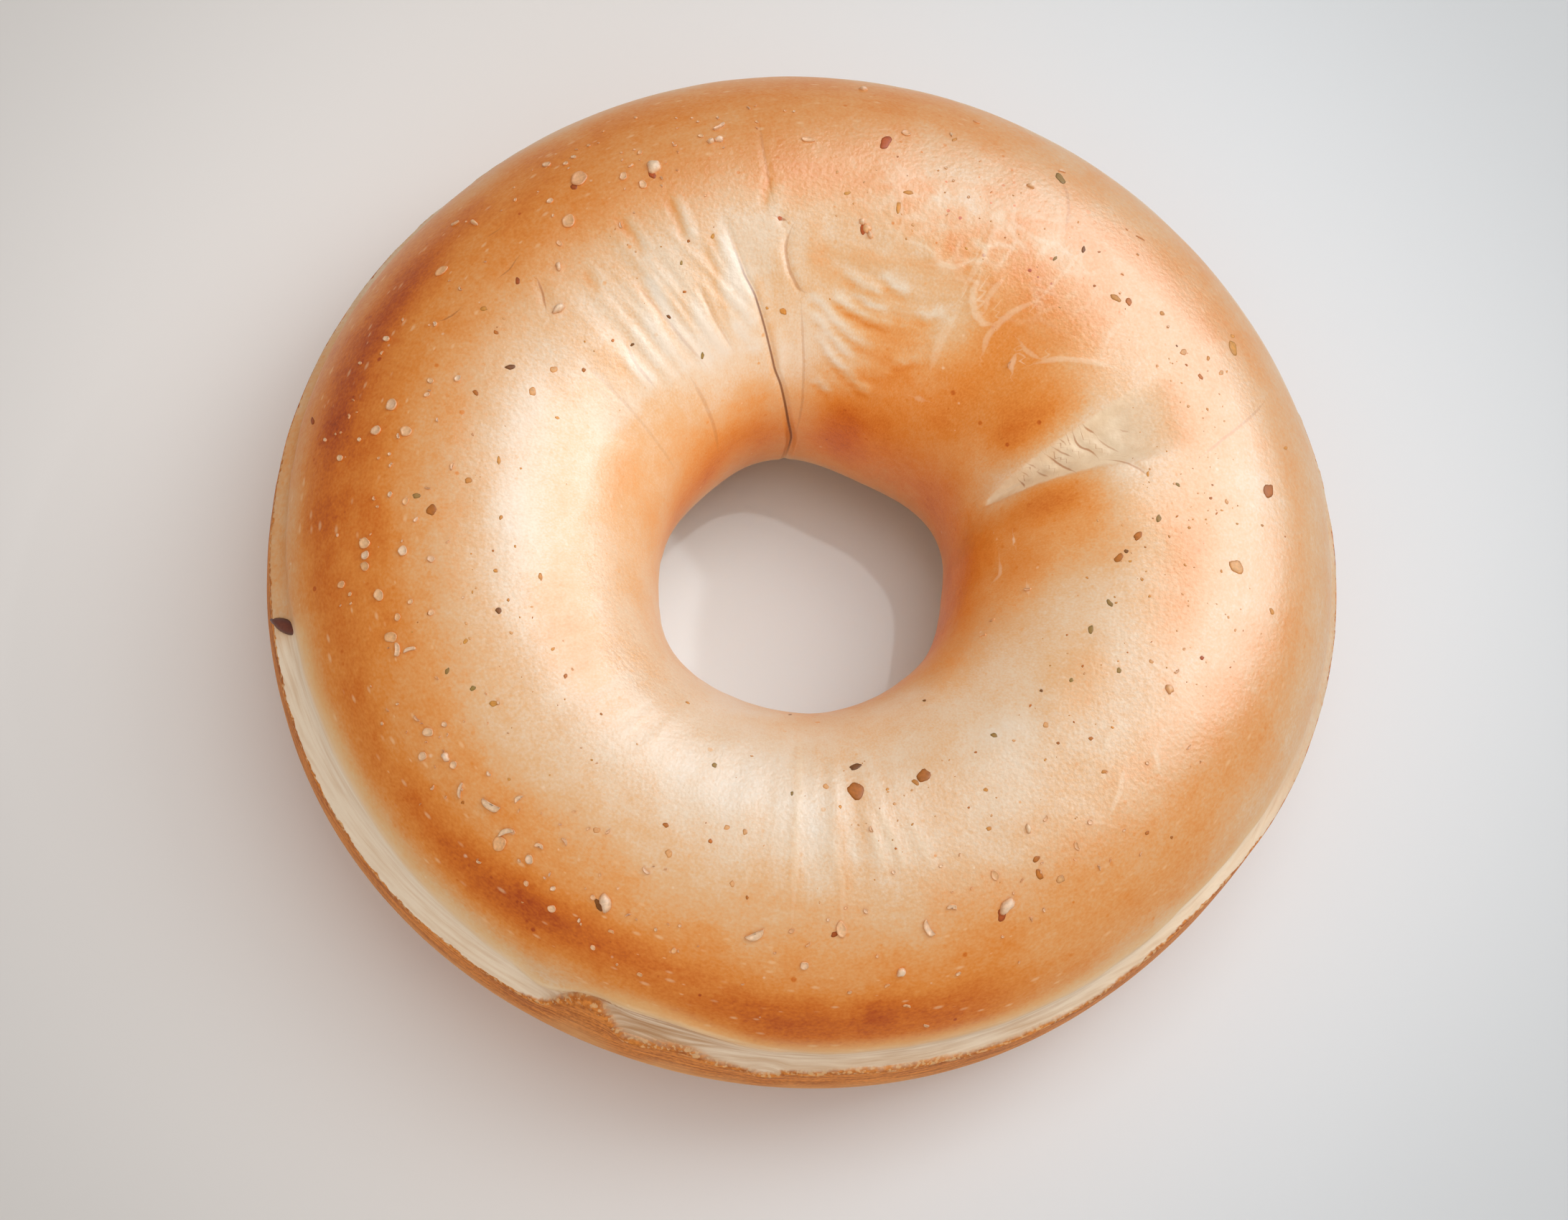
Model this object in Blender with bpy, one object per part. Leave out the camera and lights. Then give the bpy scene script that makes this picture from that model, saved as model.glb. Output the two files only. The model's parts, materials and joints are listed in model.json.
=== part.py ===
"""A whole, uncut plain bagel: one ring of bread with the flakes that are baked onto its crust.

The ring is a torus whose points are placed by functions of two angles. "bearing" goes round
the ring, counter-clockwise from +X seen from above. "turn" goes round the dough: 0 at the
outer side, a quarter at the crest, a half in the hole and three quarters at the base.
Metres, +Z up. The bagel rests on z = 0 with the middle of its plan at the origin.
"""
from math import pi, radians
import random

import bmesh
import bpy
from mathutils import Matrix, Vector
import numpy as np

# Driving dimensions of the ring
OUTER_RADIUS = 0.0548
HOLE_RADIUS = 0.0153
HOLE_SHIFT = (-0.0002, -0.0017)  # the hole lies forward of the middle, so the ring is thicker behind
HEIGHT = 0.0353
WAIST_HEIGHT = 0.0155  # of the widest point, below half height
UNDERSIDE_DEPTH = 0.0190  # below the waist, before the tray flattened the base
BASE_EASING = 0.0012  # how gently the flat base turns up
ROUNDNESS_ABOVE = 2.15  # exponents of the section's superellipse, 2 for a true ellipse
ROUNDNESS_BELOW = 2.3

# Unevenness of the outline and of the hole, each as (waves round the ring, height, bearing of a crest)
OUTLINE_WAVES = (
    (2, 0.0007, radians(14)),
    (3, 0.0001, radians(-18)),
    (4, 0.00015, radians(11)),
    (5, 0.00015, radians(0)),
)
HOLE_WAVES = (
    (2, 0.0005, radians(48)),
    (3, 0.00015, radians(-16)),
    (4, 0.00025, radians(29)),
    (5, 0.0002, radians(28)),
    (6, 0.0002, radians(-27)),
)

# The torn waist: a ragged lip of the lower crust with a pale hollow above it
LIP_HEIGHT = 0.0190
LIP_STEP = 0.0003
LIP_THICKNESS = 0.0035  # from the lip's edge down to where it is level with the crust again
HOLLOW_DEPTH = 0.0006
HOLLOW_WIDTH = 0.0050
# Tongues of crust along the lip, each as (bearing, half width, rise)
LIP_TONGUES = (
    (radians(185), radians(38), 0.0037),
    (radians(245.5), radians(5.5), 0.0044),
    (radians(256), radians(5), 0.0015),
    (radians(265.5), radians(2.5), -0.0015),
    (radians(273.5), radians(4), 0.0006),
    (radians(318), radians(22), 0.0026),
    (radians(60), radians(30), 0.0018),
    (radians(120), radians(16), 0.0012),
)

# The seam where the ends of the dough rope were joined, from the hole over the crest
SEAM_BEARING = radians(93.75)  # where it leaves the hole
SEAM_LEAN = 0.158  # how far it bears round for each part of a turn
SEAM_BOW = radians(2)  # and how far it bows out half way
SEAM_END = radians(96)  # the turn at which it dies out
SEAM_DEPTH = 0.0008
SEAM_WIDTH = 0.0009
SEAM_NOTCH = 0.0016  # extra depth in the edge of the hole
SEAM_STEP = 0.0005  # how far one end lies over the other
DIMPLE_DEPTH = 0.0005
DIMPLE_WIDTH = 0.0085

# The fold on one side, a valley that widens from the hole's rim up to the crest
FOLD_BEARING = radians(17)
FOLD_APEX = radians(150)
FOLD_MOUTH = radians(90)
FOLD_SPREAD = radians(8)  # half the valley's width at its mouth
FOLD_DEPTH = 0.0011
FOLD_LIP = 0.0006  # how far the nearer lobe stands over the valley

# Broad swells of the crust, each as (waves round the ring, height, bearing of a crest)
SWELLS = ((3, 0.0003, radians(200)), (5, 0.0002, radians(330)))

# The mesh of the ring
RING_COLUMNS = 96
DOUGH_ROWS = 40
SEAM_GATHER = radians(9)  # the columns are drawn in to the seam from this far
SEAM_FOLLOW = radians(28)  # and lean with it as far as this
LIP_FOLLOW = radians(16)  # the rows rise and fall with the lip as far as this

# Flakes and seeds that stand on the crust
FLAKE_COUNT = 42
FLAKE_LENGTH = (0.0026, 0.0015)  # the first and largest, and the last
FLAKE_SLENDERNESS = 0.7
FLAKE_RISE = 0.0005
FLAKE_TURNS = (radians(34), radians(146))  # the band of crust that they lie on
FLAKE_SIDES = 6
FLAKE_RINGS = 4
FLAKE_SEED = 11
FLAKE_WANDER = 0.03  # of the ring's length and of the band's width
# Steps that fill a square evenly, the powers of the root of x^3 = x + 1
EVEN_STEPS = (0.7549, 0.5698)

CRUST_COLOUR = (0.62, 0.29, 0.10, 1.0)
CRUST_ROUGHNESS = 0.42


def hump(distance, half_width):
    """1 at no distance, falling smoothly to 0 at the half width and beyond."""
    share = np.clip(np.abs(distance) / half_width, 0.0, 1.0)
    return (1 - share**2) ** 2


def ramp(value, start, end):
    """0 up to the start, 1 from the end on, with an eased slope between."""
    share = np.clip((value - start) / (end - start), 0.0, 1.0)
    return share * share * (3 - 2 * share)


def angle_from(bearing, centre):
    """The signed angle from the centre, between minus and plus half a turn."""
    return (bearing - centre + pi) % (2 * pi) - pi


def waves(bearing, terms):
    return sum(height * np.cos(count * (bearing - crest)) for count, height, crest in terms)


def signed_power(value, exponent):
    return np.sign(value) * np.abs(value) ** exponent


def lip_height(bearing):
    """Height of the lower crust's ragged edge."""
    return LIP_HEIGHT + sum(rise * hump(angle_from(bearing, at), width) for at, width, rise in LIP_TONGUES)


def lip_turn(bearing):
    """The turn at which the section passes the lip."""
    share = (lip_height(bearing) - WAIST_HEIGHT) / (HEIGHT - WAIST_HEIGHT)
    return np.arcsin(share ** (ROUNDNESS_ABOVE / 2))


def seam_bearing(turn):
    """The bearing of the seam's line, which leans round and bows on its way over the crest."""
    way = pi - np.clip(turn, SEAM_END, pi)
    return SEAM_BEARING + SEAM_LEAN * way + SEAM_BOW * np.sin(pi * way / (pi - SEAM_END))


def plain_form(bearing, turn):
    """Points of the smooth ring, before any relief."""
    exponent = 2 / np.where(np.sin(turn) >= 0, ROUNDNESS_ABOVE, ROUNDNESS_BELOW)
    across = signed_power(np.cos(turn), exponent)
    upward = signed_power(np.sin(turn), exponent)
    outer = OUTER_RADIUS + waves(bearing, OUTLINE_WAVES)
    hole = HOLE_RADIUS + waves(bearing, HOLE_WAVES)
    outer_share = (1 + across) / 2
    radius = outer * outer_share + hole * (1 - outer_share)
    x = radius * np.cos(bearing) + HOLE_SHIFT[0] * (1 - outer_share)
    y = radius * np.sin(bearing) + HOLE_SHIFT[1] * (1 - outer_share)
    z = WAIST_HEIGHT + np.where(upward >= 0, HEIGHT - WAIST_HEIGHT, UNDERSIDE_DEPTH) * upward
    return x, y, z


def waist_relief(bearing, height, outward):
    """The lip of lower crust and the hollow over it, on the outer side only."""
    above = height - lip_height(bearing)
    lip = LIP_STEP * ramp(above, -LIP_THICKNESS, 0) * (1 - ramp(above, 0, LIP_THICKNESS / 6))
    hollow = -HOLLOW_DEPTH * hump(above - HOLLOW_WIDTH / 2, HOLLOW_WIDTH / 2)
    return (lip + hollow) * ramp(outward, 0.2, 0.6)


def seam_relief(bearing, turn, radius):
    """The groove, the step across it, the notch that it leaves in the hole and the dimple around it."""
    aside = radius * angle_from(bearing, seam_bearing(turn))
    present = ramp(turn, SEAM_END - radians(20), SEAM_END + radians(25)) * (1 - ramp(turn, pi, radians(235)))
    in_hole = hump(turn - radians(176), radians(32))
    groove = -(SEAM_DEPTH * present + SEAM_NOTCH * in_hole) * hump(aside, 2 * SEAM_WIDTH)
    step = SEAM_STEP * present * np.sign(aside) * hump(aside, DIMPLE_WIDTH / 2)
    dimple = -DIMPLE_DEPTH * present * hump(aside, DIMPLE_WIDTH)
    return groove + step + dimple


def fold_relief(bearing, turn):
    """A valley between two lobes, with the nearer lobe's edge standing over it."""
    open_share = ramp(turn, FOLD_APEX, FOLD_MOUTH) * ramp(turn, radians(40), radians(75))
    half_width = FOLD_SPREAD * np.maximum(open_share, 0.15)
    aside = angle_from(bearing, FOLD_BEARING)
    depth = open_share * (1 - open_share * 0.5)
    valley = -FOLD_DEPTH * 2 * depth * hump(aside, 1.3 * half_width)
    lobe = FOLD_LIP * 2 * depth * hump(aside + 1.7 * half_width, 1.2 * half_width)
    return valley + lobe


def place(bearing, turn):
    """Points of the bread, as an array with three columns."""
    x, y, z = plain_form(bearing, turn)
    radius = np.hypot(x, y)
    outward, upward = np.cos(turn), np.sin(turn)
    relief = waist_relief(bearing, z, outward)
    relief = relief + seam_relief(bearing, turn, radius)
    relief = relief + fold_relief(bearing, turn)
    relief = relief + waves(bearing, SWELLS) * ramp(upward, -0.2, 0.8)
    x = x + relief * outward * np.cos(bearing)
    y = y + relief * outward * np.sin(bearing)
    z = z + relief * upward
    flattened = (z + BASE_EASING) ** 2 / (4 * BASE_EASING)
    z = np.where(z > BASE_EASING, z, np.where(z < -BASE_EASING, 0.0, flattened))
    return np.stack([x, y, z], axis=-1)


def follow_features(bearing, turn):
    """Leans the mesh's columns along the seam and its rows along the lip, so that an edge runs in each."""
    row = 2 * pi / DOUGH_ROWS
    lip_row = row * round(lip_turn(SEAM_BEARING) / row)
    turn = turn + (lip_turn(bearing) - lip_row) * hump(turn - lip_row, LIP_FOLLOW * 2)
    aside = angle_from(bearing, SEAM_BEARING)
    gathered = aside * (1 - 0.45 * hump(aside, SEAM_GATHER * 2))
    bearing = bearing + (gathered - aside)
    bearing = bearing + (seam_bearing(turn) - SEAM_BEARING) * hump(aside, SEAM_FOLLOW)
    return bearing, turn


def crust_material():
    crust = bpy.data.materials.new("crust")
    crust.use_nodes = True
    shader = crust.node_tree.nodes["Principled BSDF"]
    shader.inputs["Base Color"].default_value = CRUST_COLOUR
    shader.inputs["Roughness"].default_value = CRUST_ROUGHNESS
    shader.inputs["Metallic"].default_value = 0.0
    return crust


def add_bread(collection):
    """A torus primitive whose points are moved to their places on the bagel."""
    tube_radius = (OUTER_RADIUS - HOLE_RADIUS) / 2
    ring_radius = (OUTER_RADIUS + HOLE_RADIUS) / 2
    bpy.ops.mesh.primitive_torus_add(
        major_segments=RING_COLUMNS,
        minor_segments=DOUGH_ROWS,
        major_radius=ring_radius,
        minor_radius=tube_radius,
    )
    bread = bpy.context.active_object
    bread.name = "bagel"
    bread.data.name = "bagel"
    points = np.empty(len(bread.data.vertices) * 3)
    bread.data.vertices.foreach_get("co", points)
    x, y, z = points.reshape(-1, 3).T
    bearing = np.arctan2(y, x) % (2 * pi)
    turn = np.arctan2(z, np.hypot(x, y) - ring_radius) % (2 * pi)
    placed = place(*follow_features(bearing, turn))
    bread.data.vertices.foreach_set("co", placed.ravel())
    bread.data.update()
    for owner in bread.users_collection:
        owner.objects.unlink(bread)
    collection.objects.link(bread)
    return bread


def surface_frame(bearing, turn):
    """A point of the crust and a right-handed frame there: along the ring, across it and straight out."""
    step = radians(1)
    angles = np.array([[bearing, turn], [bearing + step, turn], [bearing, turn + step]]).T
    here, beside, beyond = (Vector(point) for point in place(*angles))
    along = (beside - here).normalized()
    out = along.cross(beyond - here).normalized()
    return here, Matrix((along, out.cross(along), out)).transposed()


def add_flake(name, bearing, turn, length, spin, collection):
    """A low lens, sunk to its middle in the crust."""
    here, axes = surface_frame(bearing, turn)
    flake = bpy.data.objects.new(name, bpy.data.meshes.new(name))
    shape = bmesh.new()
    bmesh.ops.create_uvsphere(shape, u_segments=FLAKE_SIDES, v_segments=FLAKE_RINGS, radius=1)
    half_sizes = Vector((length / 2, FLAKE_SLENDERNESS * length / 2, FLAKE_RISE))
    bmesh.ops.scale(shape, verts=shape.verts, vec=half_sizes)
    shape.to_mesh(flake.data)
    shape.free()
    flake.matrix_world = Matrix.Translation(here) @ axes.to_4x4() @ Matrix.Rotation(spin, 4, "Z")
    collection.objects.link(flake)


def add_flakes(collection):
    """Spread evenly over the crown of the ring, the largest first, with a seeded wander."""
    draw = random.Random(FLAKE_SEED)
    first_turn, last_turn = FLAKE_TURNS
    largest, smallest = FLAKE_LENGTH
    for number in range(FLAKE_COUNT):
        round_share, across_share = (
            (number * step + draw.uniform(-FLAKE_WANDER, FLAKE_WANDER)) % 1 for step in EVEN_STEPS
        )
        bearing = 2 * pi * round_share
        turn = first_turn + (last_turn - first_turn) * across_share
        length = largest + (smallest - largest) * number / (FLAKE_COUNT - 1)
        add_flake(f"flake_{number:02d}", bearing, turn, length, draw.uniform(0, pi), collection)


def fuse(bread, collection):
    """Joins everything in the collection to the bread as one body, then removes what was joined."""
    union = bread.modifiers.new("fuse_flakes", "BOOLEAN")
    union.operation = "UNION"
    union.operand_type = "COLLECTION"
    union.collection = collection
    union.solver = "EXACT"
    bpy.context.view_layer.objects.active = bread
    bpy.ops.object.modifier_apply(modifier=union.name)
    for flake in list(collection.objects):
        bpy.data.objects.remove(flake)
    bpy.data.collections.remove(collection)


def centre_plan(bread):
    """Moves the points so that the middle of the plan is at the origin."""
    corners = np.array([corner[:] for corner in bread.bound_box])
    middle = (corners.min(axis=0) + corners.max(axis=0)) / 2
    bread.data.transform(Matrix.Translation((-middle[0], -middle[1], 0.0)))


def main():
    for old in list(bpy.data.objects):
        bpy.data.objects.remove(old)
    parts = bpy.data.collections.new("plain_bagel")
    bpy.context.scene.collection.children.link(parts)
    loose_flakes = bpy.data.collections.new("loose_flakes")
    bpy.context.scene.collection.children.link(loose_flakes)

    bread = add_bread(parts)
    add_flakes(loose_flakes)
    bpy.context.view_layer.update()
    fuse(bread, loose_flakes)
    centre_plan(bread)
    bread.data.materials.clear()
    bread.data.materials.append(crust_material())
    bread.data.shade_smooth()


main()
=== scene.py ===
"""Looks of the plain bagel: crust, torn waist, seam, fold, flakes and seeds, on a pale floor.

"bearing" goes round the ring, counter-clockwise from +X seen from above. "turn" goes round the
dough: 0 at the outer side, 90 at the crest, 180 in the hole and 270 at the base. Sizes are in
metres where nothing else is said. Angles in tables and named values are in degrees, and places on
the crust are (bearing, turn).
"""
import json
from math import cos, pi, radians, sin
import random

import bpy
from mathutils import Matrix, Vector, noise
import numpy as np

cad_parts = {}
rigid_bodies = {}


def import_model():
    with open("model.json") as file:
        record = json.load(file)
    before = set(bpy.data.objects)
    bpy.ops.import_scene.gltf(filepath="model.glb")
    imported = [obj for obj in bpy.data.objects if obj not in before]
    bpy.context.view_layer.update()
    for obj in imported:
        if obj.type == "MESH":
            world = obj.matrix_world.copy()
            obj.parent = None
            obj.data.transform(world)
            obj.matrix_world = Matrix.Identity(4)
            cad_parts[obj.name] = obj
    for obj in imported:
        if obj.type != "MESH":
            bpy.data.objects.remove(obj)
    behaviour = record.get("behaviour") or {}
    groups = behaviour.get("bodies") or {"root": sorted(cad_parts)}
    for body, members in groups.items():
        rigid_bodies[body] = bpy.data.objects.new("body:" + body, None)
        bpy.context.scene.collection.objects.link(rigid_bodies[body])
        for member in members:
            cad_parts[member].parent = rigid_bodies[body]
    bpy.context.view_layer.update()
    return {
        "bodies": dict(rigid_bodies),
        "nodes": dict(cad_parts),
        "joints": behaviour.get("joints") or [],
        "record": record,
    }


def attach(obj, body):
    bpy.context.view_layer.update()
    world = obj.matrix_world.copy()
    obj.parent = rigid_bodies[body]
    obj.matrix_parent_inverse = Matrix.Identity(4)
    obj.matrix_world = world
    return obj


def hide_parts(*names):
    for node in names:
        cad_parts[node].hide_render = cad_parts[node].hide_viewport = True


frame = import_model()

MM = 0.001

# Driving dimensions of the ring, as the part has them
OUTER_RADIUS = 0.0548
HOLE_RADIUS = 0.0153
HOLE_SHIFT = (-0.0002, -0.0017)
HEIGHT = 0.0353
WAIST_HEIGHT = 0.0155
UNDERSIDE_DEPTH = 0.0190
BASE_EASING = 0.0012
ROUNDNESS_ABOVE = 2.15
ROUNDNESS_BELOW = 2.3
DOUGH_RADIUS = (OUTER_RADIUS - HOLE_RADIUS) / 2
RING_RADIUS = (OUTER_RADIUS + HOLE_RADIUS) / 2

# Unevenness of the outline and of the hole, each as (waves round the ring, height, bearing of a crest)
OUTLINE_WAVES = (
    (2, 0.0007, 14),
    (3, 0.0001, -18),
    (4, 0.00015, 11),
    (5, 0.00015, 0),
)
HOLE_WAVES = (
    (2, 0.0005, 48),
    (3, 0.00015, -16),
    (4, 0.00025, 29),
    (5, 0.0002, 28),
    (6, 0.0002, -27),
)
SWELLS = ((3, 0.0003, 200), (5, 0.0002, 330))

# The torn waist: the ragged lip of the lower crust and the pale hollow above it
LIP_HEIGHT = 0.0190
LIP_STEP = 0.00035
LIP_THICKNESS = 0.0035
LIP_DROP = 0.0004
LIP_RAGGEDNESS = 0.00035
HOLLOW_DEPTH = 0.0006
HOLLOW_LEAST_HALF = 0.0015
# Places where the lip, and then the top of the pale band, lies higher: (bearing, half width, rise)
LIP_TONGUES = (
    (185, 38, 0.0037),
    (245.5, 5.5, 0.0044),
    (256, 5, 0.0015),
    (265.5, 2.5, -0.0015),
    (273.5, 4, 0.0006),
    (318, 22, 0.0026),
    (60, 30, 0.0018),
    (120, 16, 0.0012),
)
BAND_TOP = 0.0234
BAND_RISES = (
    (197, 45, 0.0032),
    (241, 5, -0.0014),
    (252, 13, 0.0018),
    (320, 20, 0.0006),
    (60, 40, 0.0010),
)
# The band shows white round this bearing, and weakly behind. A reach is start, full, fading and end.
BAND_MIDDLE = 255
BAND_REACH = (-64, -61, 66, 92)
BAND_BEHIND = ((72, 52, 0.4),)
# Where the lip is torn into fibres
TORN_PLACES = ((251, 15, 0.9), (280, 40, 0.45))

# The seam where the ends of the dough rope were joined, and how far over the dough it reaches
SEAM_MARKS = (
    (93.6, 200), (93.7, 180), (96.0, 170), (98.0, 160), (100.0, 150), (101.8, 144), (103.0, 135),
    (103.9, 127), (105.0, 118), (106.4, 112), (107.0, 106), (107.5, 100), (108.0, 94),
)
SEAM_REACH = (86, 131, 180, 235)
SEAM_LINE_REACH = (92, 124, 180, 200)
SEAM_BEARING = 100
SEAM_DEPTH = 0.00022
SEAM_WIDTH = 0.0003
SEAM_NOTCH = 0.0003
SEAM_STEP = 0.00006
DIMPLE_DEPTH = 0.0003
DIMPLE_WIDTH = 0.0085

# The fold on the right of the hole. Its floor starts as a point at the apex, a turn of the dough, and
# opens towards the mouth, another turn. Its edges are bearings that spread as it opens.
FOLD_APEX = 151
FOLD_MOUTH = 100
FOLD_REACH = (78, 106, 150, 172)
FOLD_DEPTH = 0.0009
FOLD_NEAR_EDGE = 17.3
FOLD_NEAR_REACH = 5.0
FOLD_FAR_EDGE = 17.7
FOLD_FAR_REACH = 5.4
FOLD_OPENING = 0.55
FOLD_FLARE = 3.0
FOLD_POINT = 0.2
FOLD_LOBES = ((4, 12, 0.0005), (32, 14, 0.0004))

# Stretched and smeared places as (bearing, half width, turn, half height), the first with amounts
PLEATED_PATCHES = ((124, 42, 114, 34, 1), (272, 20, 100, 45, 0.8), (215, 40, 112, 25, 0.5))
SWOOSH_PATCH = (76, 26, 124, 34)
WEB_PATCH = (62, 34, 88, 30)
# Heights of the fine relief
UNDULATION = 0.00012
RIPPLE = 0.00005
PLEAT_HEIGHT = 0.00014
SWOOSH_HEIGHT = 0.00016

# The mesh of the ring
RING_COLUMNS = 520
DOUGH_ROWS = 184
# Where columns and rows lie closer, each as (centre, half width, how much closer)
CLOSER_COLUMNS = ((96, 45, 1.5), (17, 20, 1.2), (255, 75, 0.4))
CLOSER_ROWS = ((80, 120, 1.3), (18, 22, 1.5))
# Rows near this turn follow the lip, and columns near the seam follow the seam
LIP_SETTLED = 12
LIP_FOLLOW = 32
SEAM_FOLLOW = 28

# Browning of the crust, 0 for white dough and 1 for the deepest brown, with one painted highlight. Each patch
# is (bearing, half width, turn, half height, amount), in degrees, and they add up.
BROWNING_BASE = 0.20
BROWNED_AND_PAINTED_HIGHLIGHT_PATCHES = (
    # outer side
    (160, 115, 52, 46, 0.38), (162, 34, 46, 18, 0.26), (195, 30, 58, 18, 0.12),
    (122, 26, 52, 22, 0.10), (276, 34, 31, 20, 0.40), (262, 60, 44, 28, 0.16),
    (285, 95, 50, 46, 0.20), (345, 80, 52, 60, 0.12), (50, 75, 60, 60, 0.16),
    (90, 34, 46, 36, 0.12), (206, 20, 72, 14, 0.12), (243, 30, 42, 20, 0.20),
    (5, 50, 62, 20, 0.06), (345, 45, 34, 22, 0.03), (222, 36, 45, 15, 0.20),
    (155, 36, 24, 18, 0.26), (180, 22, 66, 14, 0.13), (230, 26, 68, 14, 0.12),
    (150, 44, 42, 16, 0.07), (8, 28, 60, 15, -0.15), (350, 44, 36, 14, -0.10),
    (188, 28, 47, 14, 0.09), (140, 52, 74, 26, 0.08), (4, 22, 66, 10, -0.07),
    # crown
    (42, 20, 124, 38, 0.38), (60, 22, 95, 26, 0.14), (2, 20, 128, 40, 0.34),
    (30, 12, 130, 40, 0.18), (27, 8, 120, 30, 0.24), (9, 8, 126, 24, 0.20),
    (91.5, 3, 101, 6, 0.12), (90, 4, 108, 7, 0.14), (84, 20, 88, 18, 0.13),
    (20, 22, 104, 12, -0.06), (108, 36, 80, 18, 0.20), (190, 50, 88, 18, 0.09),
    (115, 40, 132, 30, -0.16), (186, 46, 112, 16, 0.16), (86, 34, 128, 30, 0.10),
    (50, 26, 106, 26, 0.10), (212, 22, 110, 16, 0.12), (68, 20, 130, 22, 0.16),
    (345, 16, 132, 16, 0.12), (250, 40, 118, 40, -0.10), (80, 16, 110, 11, 0.12),
    (122, 22, 116, 16, 0.08), (350, 26, 86, 13, 0.13), (40, 18, 94, 13, 0.13),
    (92, 20, 90, 10, 0.10), (322, 16, 100, 12, 0.08), (10, 46, 82, 10, 0.07),
    # (182, 34, 105, 14) pales the crown where the highlight falls left of the hole: a painted highlight.
    (182, 34, 105, 14, -0.12), (262, 16, 102, 14, -0.09), (308, 20, 106, 14, -0.06),
    # slope into the hole
    (40, 90, 175, 45, 0.42), (78, 16, 172, 22, 0.16), (338, 48, 160, 44, 0.36),
    (110, 40, 182, 26, 0.20), (150, 60, 166, 24, 0.10), (285, 45, 172, 34, 0.16),
    (60, 28, 145, 30, 0.18), (118, 34, 165, 24, 0.26), (150, 30, 176, 20, 0.16),
    (243, 24, 145, 24, -0.12), (74, 22, 168, 22, 0.13), (108, 18, 146, 14, 0.15),
    (82, 22, 155, 16, 0.18), (118, 16, 178, 16, -0.14), (150, 34, 158, 20, -0.10),
    (60, 20, 148, 16, 0.06),
)
# Left of the hole the browning starts at a line along the inner slope
INNER_EDGE = 126
INNER_BROWNING = 0.13

# Fine lines drawn on the crust, each as marks in degrees, then half width and depth in millimetres
# and darkness. Creases are thin valleys; their darker line is partly browner crust, partly painted shade.
CREASES = (
    # across the floor of the fold
    (((18.4, 135.5), (17.2, 134.9), (15.8, 133.3)), 0.10, 0.20, 0.8),
    (((20.4, 129.6), (19.1, 128.1)), 0.10, 0.12, 0.6),
    (((20.4, 123.2), (18, 121.4), (16, 119.0), (13.4, 115.2)), 0.10, 0.25, 0.8),
    (((21.8, 117.2), (20.5, 116.2)), 0.08, 0.12, 0.6),
    (((22.2, 112.8), (20, 113.3), (18.6, 112.2), (17.2, 109.6), (15.2, 108.0)), 0.10, 0.22, 0.8),
    (((22.0, 109.2), (20.1, 106.9)), 0.10, 0.16, 0.8),
    (((14.2, 106), (12.4, 101), (10.5, 97.5), (8.5, 95)), 0.09, 0.12, 0.6),
    (((18.8, 99.5), (17.9, 97.2)), 0.08, 0.10, 0.5),
    (((19.6, 133.0), (18.6, 131.8)), 0.08, 0.12, 0.5),
    (((18.2, 128.6), (16.6, 126.8), (15.4, 124.6)), 0.09, 0.16, 0.6),
    (((21.2, 120.4), (19.4, 118.6), (17.6, 115.8)), 0.08, 0.16, 0.6),
    (((19.0, 106.6), (16.8, 104.4), (15.0, 101.6)), 0.08, 0.14, 0.5),
    # right side
    (((10.2, 82), (13, 72), (16, 58), (17.8, 50)), 0.14, 0.06, 0.35),
    (((51.3, 76), (52.6, 70), (54.6, 63), (56.4, 59)), 0.16, 0.06, 0.35),
    # under the torn lip of the waist, darkened as the lip's painted shadow
    (
        (
            (236, 19.2), (240, 16.4), (243, 20), (246, 22.4),
            (250, 23.8), (255, 24.2), (260, 22.4), (266, 19),
        ),
        0.20, 0.16, 0.6,
    ),
    # beside the seam
    (((92.8, 176), (92.3, 160), (92.8, 145), (93.7, 132), (94.2, 122)), 0.13, 0.05, 0.34),
    (((93.4, 119.5), (94.8, 118.2), (96.6, 113), (97.2, 106), (95.2, 99.5)), 0.16, 0.14, 0.5),
    (((98.4, 93), (98.7, 80), (98.4, 66)), 0.14, 0.05, 0.3),
    (((96.4, 98.5), (98.3, 97.0)), 0.14, 0.14, 0.9),
    # pleats behind the hole, left of the seam
    (((126.7, 166), (126.2, 155), (127, 142), (128, 133)), 0.20, 0.06, 0.30),
    (((122.4, 133), (125.6, 121), (127.3, 108), (128.2, 99)), 0.16, 0.05, 0.25),
    (((138.2, 128), (138.6, 119), (137.0, 111)), 0.18, 0.06, 0.3),
    (((147, 160), (147.4, 140), (147, 118), (146.6, 100)), 0.16, 0.04, 0.18),
    (((113.4, 133), (116, 122), (117, 108)), 0.12, 0.10, 0.2),
    # cracks in the left shoulder
    (((140.2, 82.6), (141.3, 86.4), (143.4, 90.2)), 0.11, 0.16, 0.8),
    (((150.6, 70.2), (152, 69), (153.4, 66.8)), 0.09, 0.12, 0.8),
    (((139.0, 73.6), (141.6, 74.6), (143.8, 73.8)), 0.07, 0.08, 0.7),
    (((136.8, 62), (139.6, 60.4)), 0.07, 0.08, 0.5),
)
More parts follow.
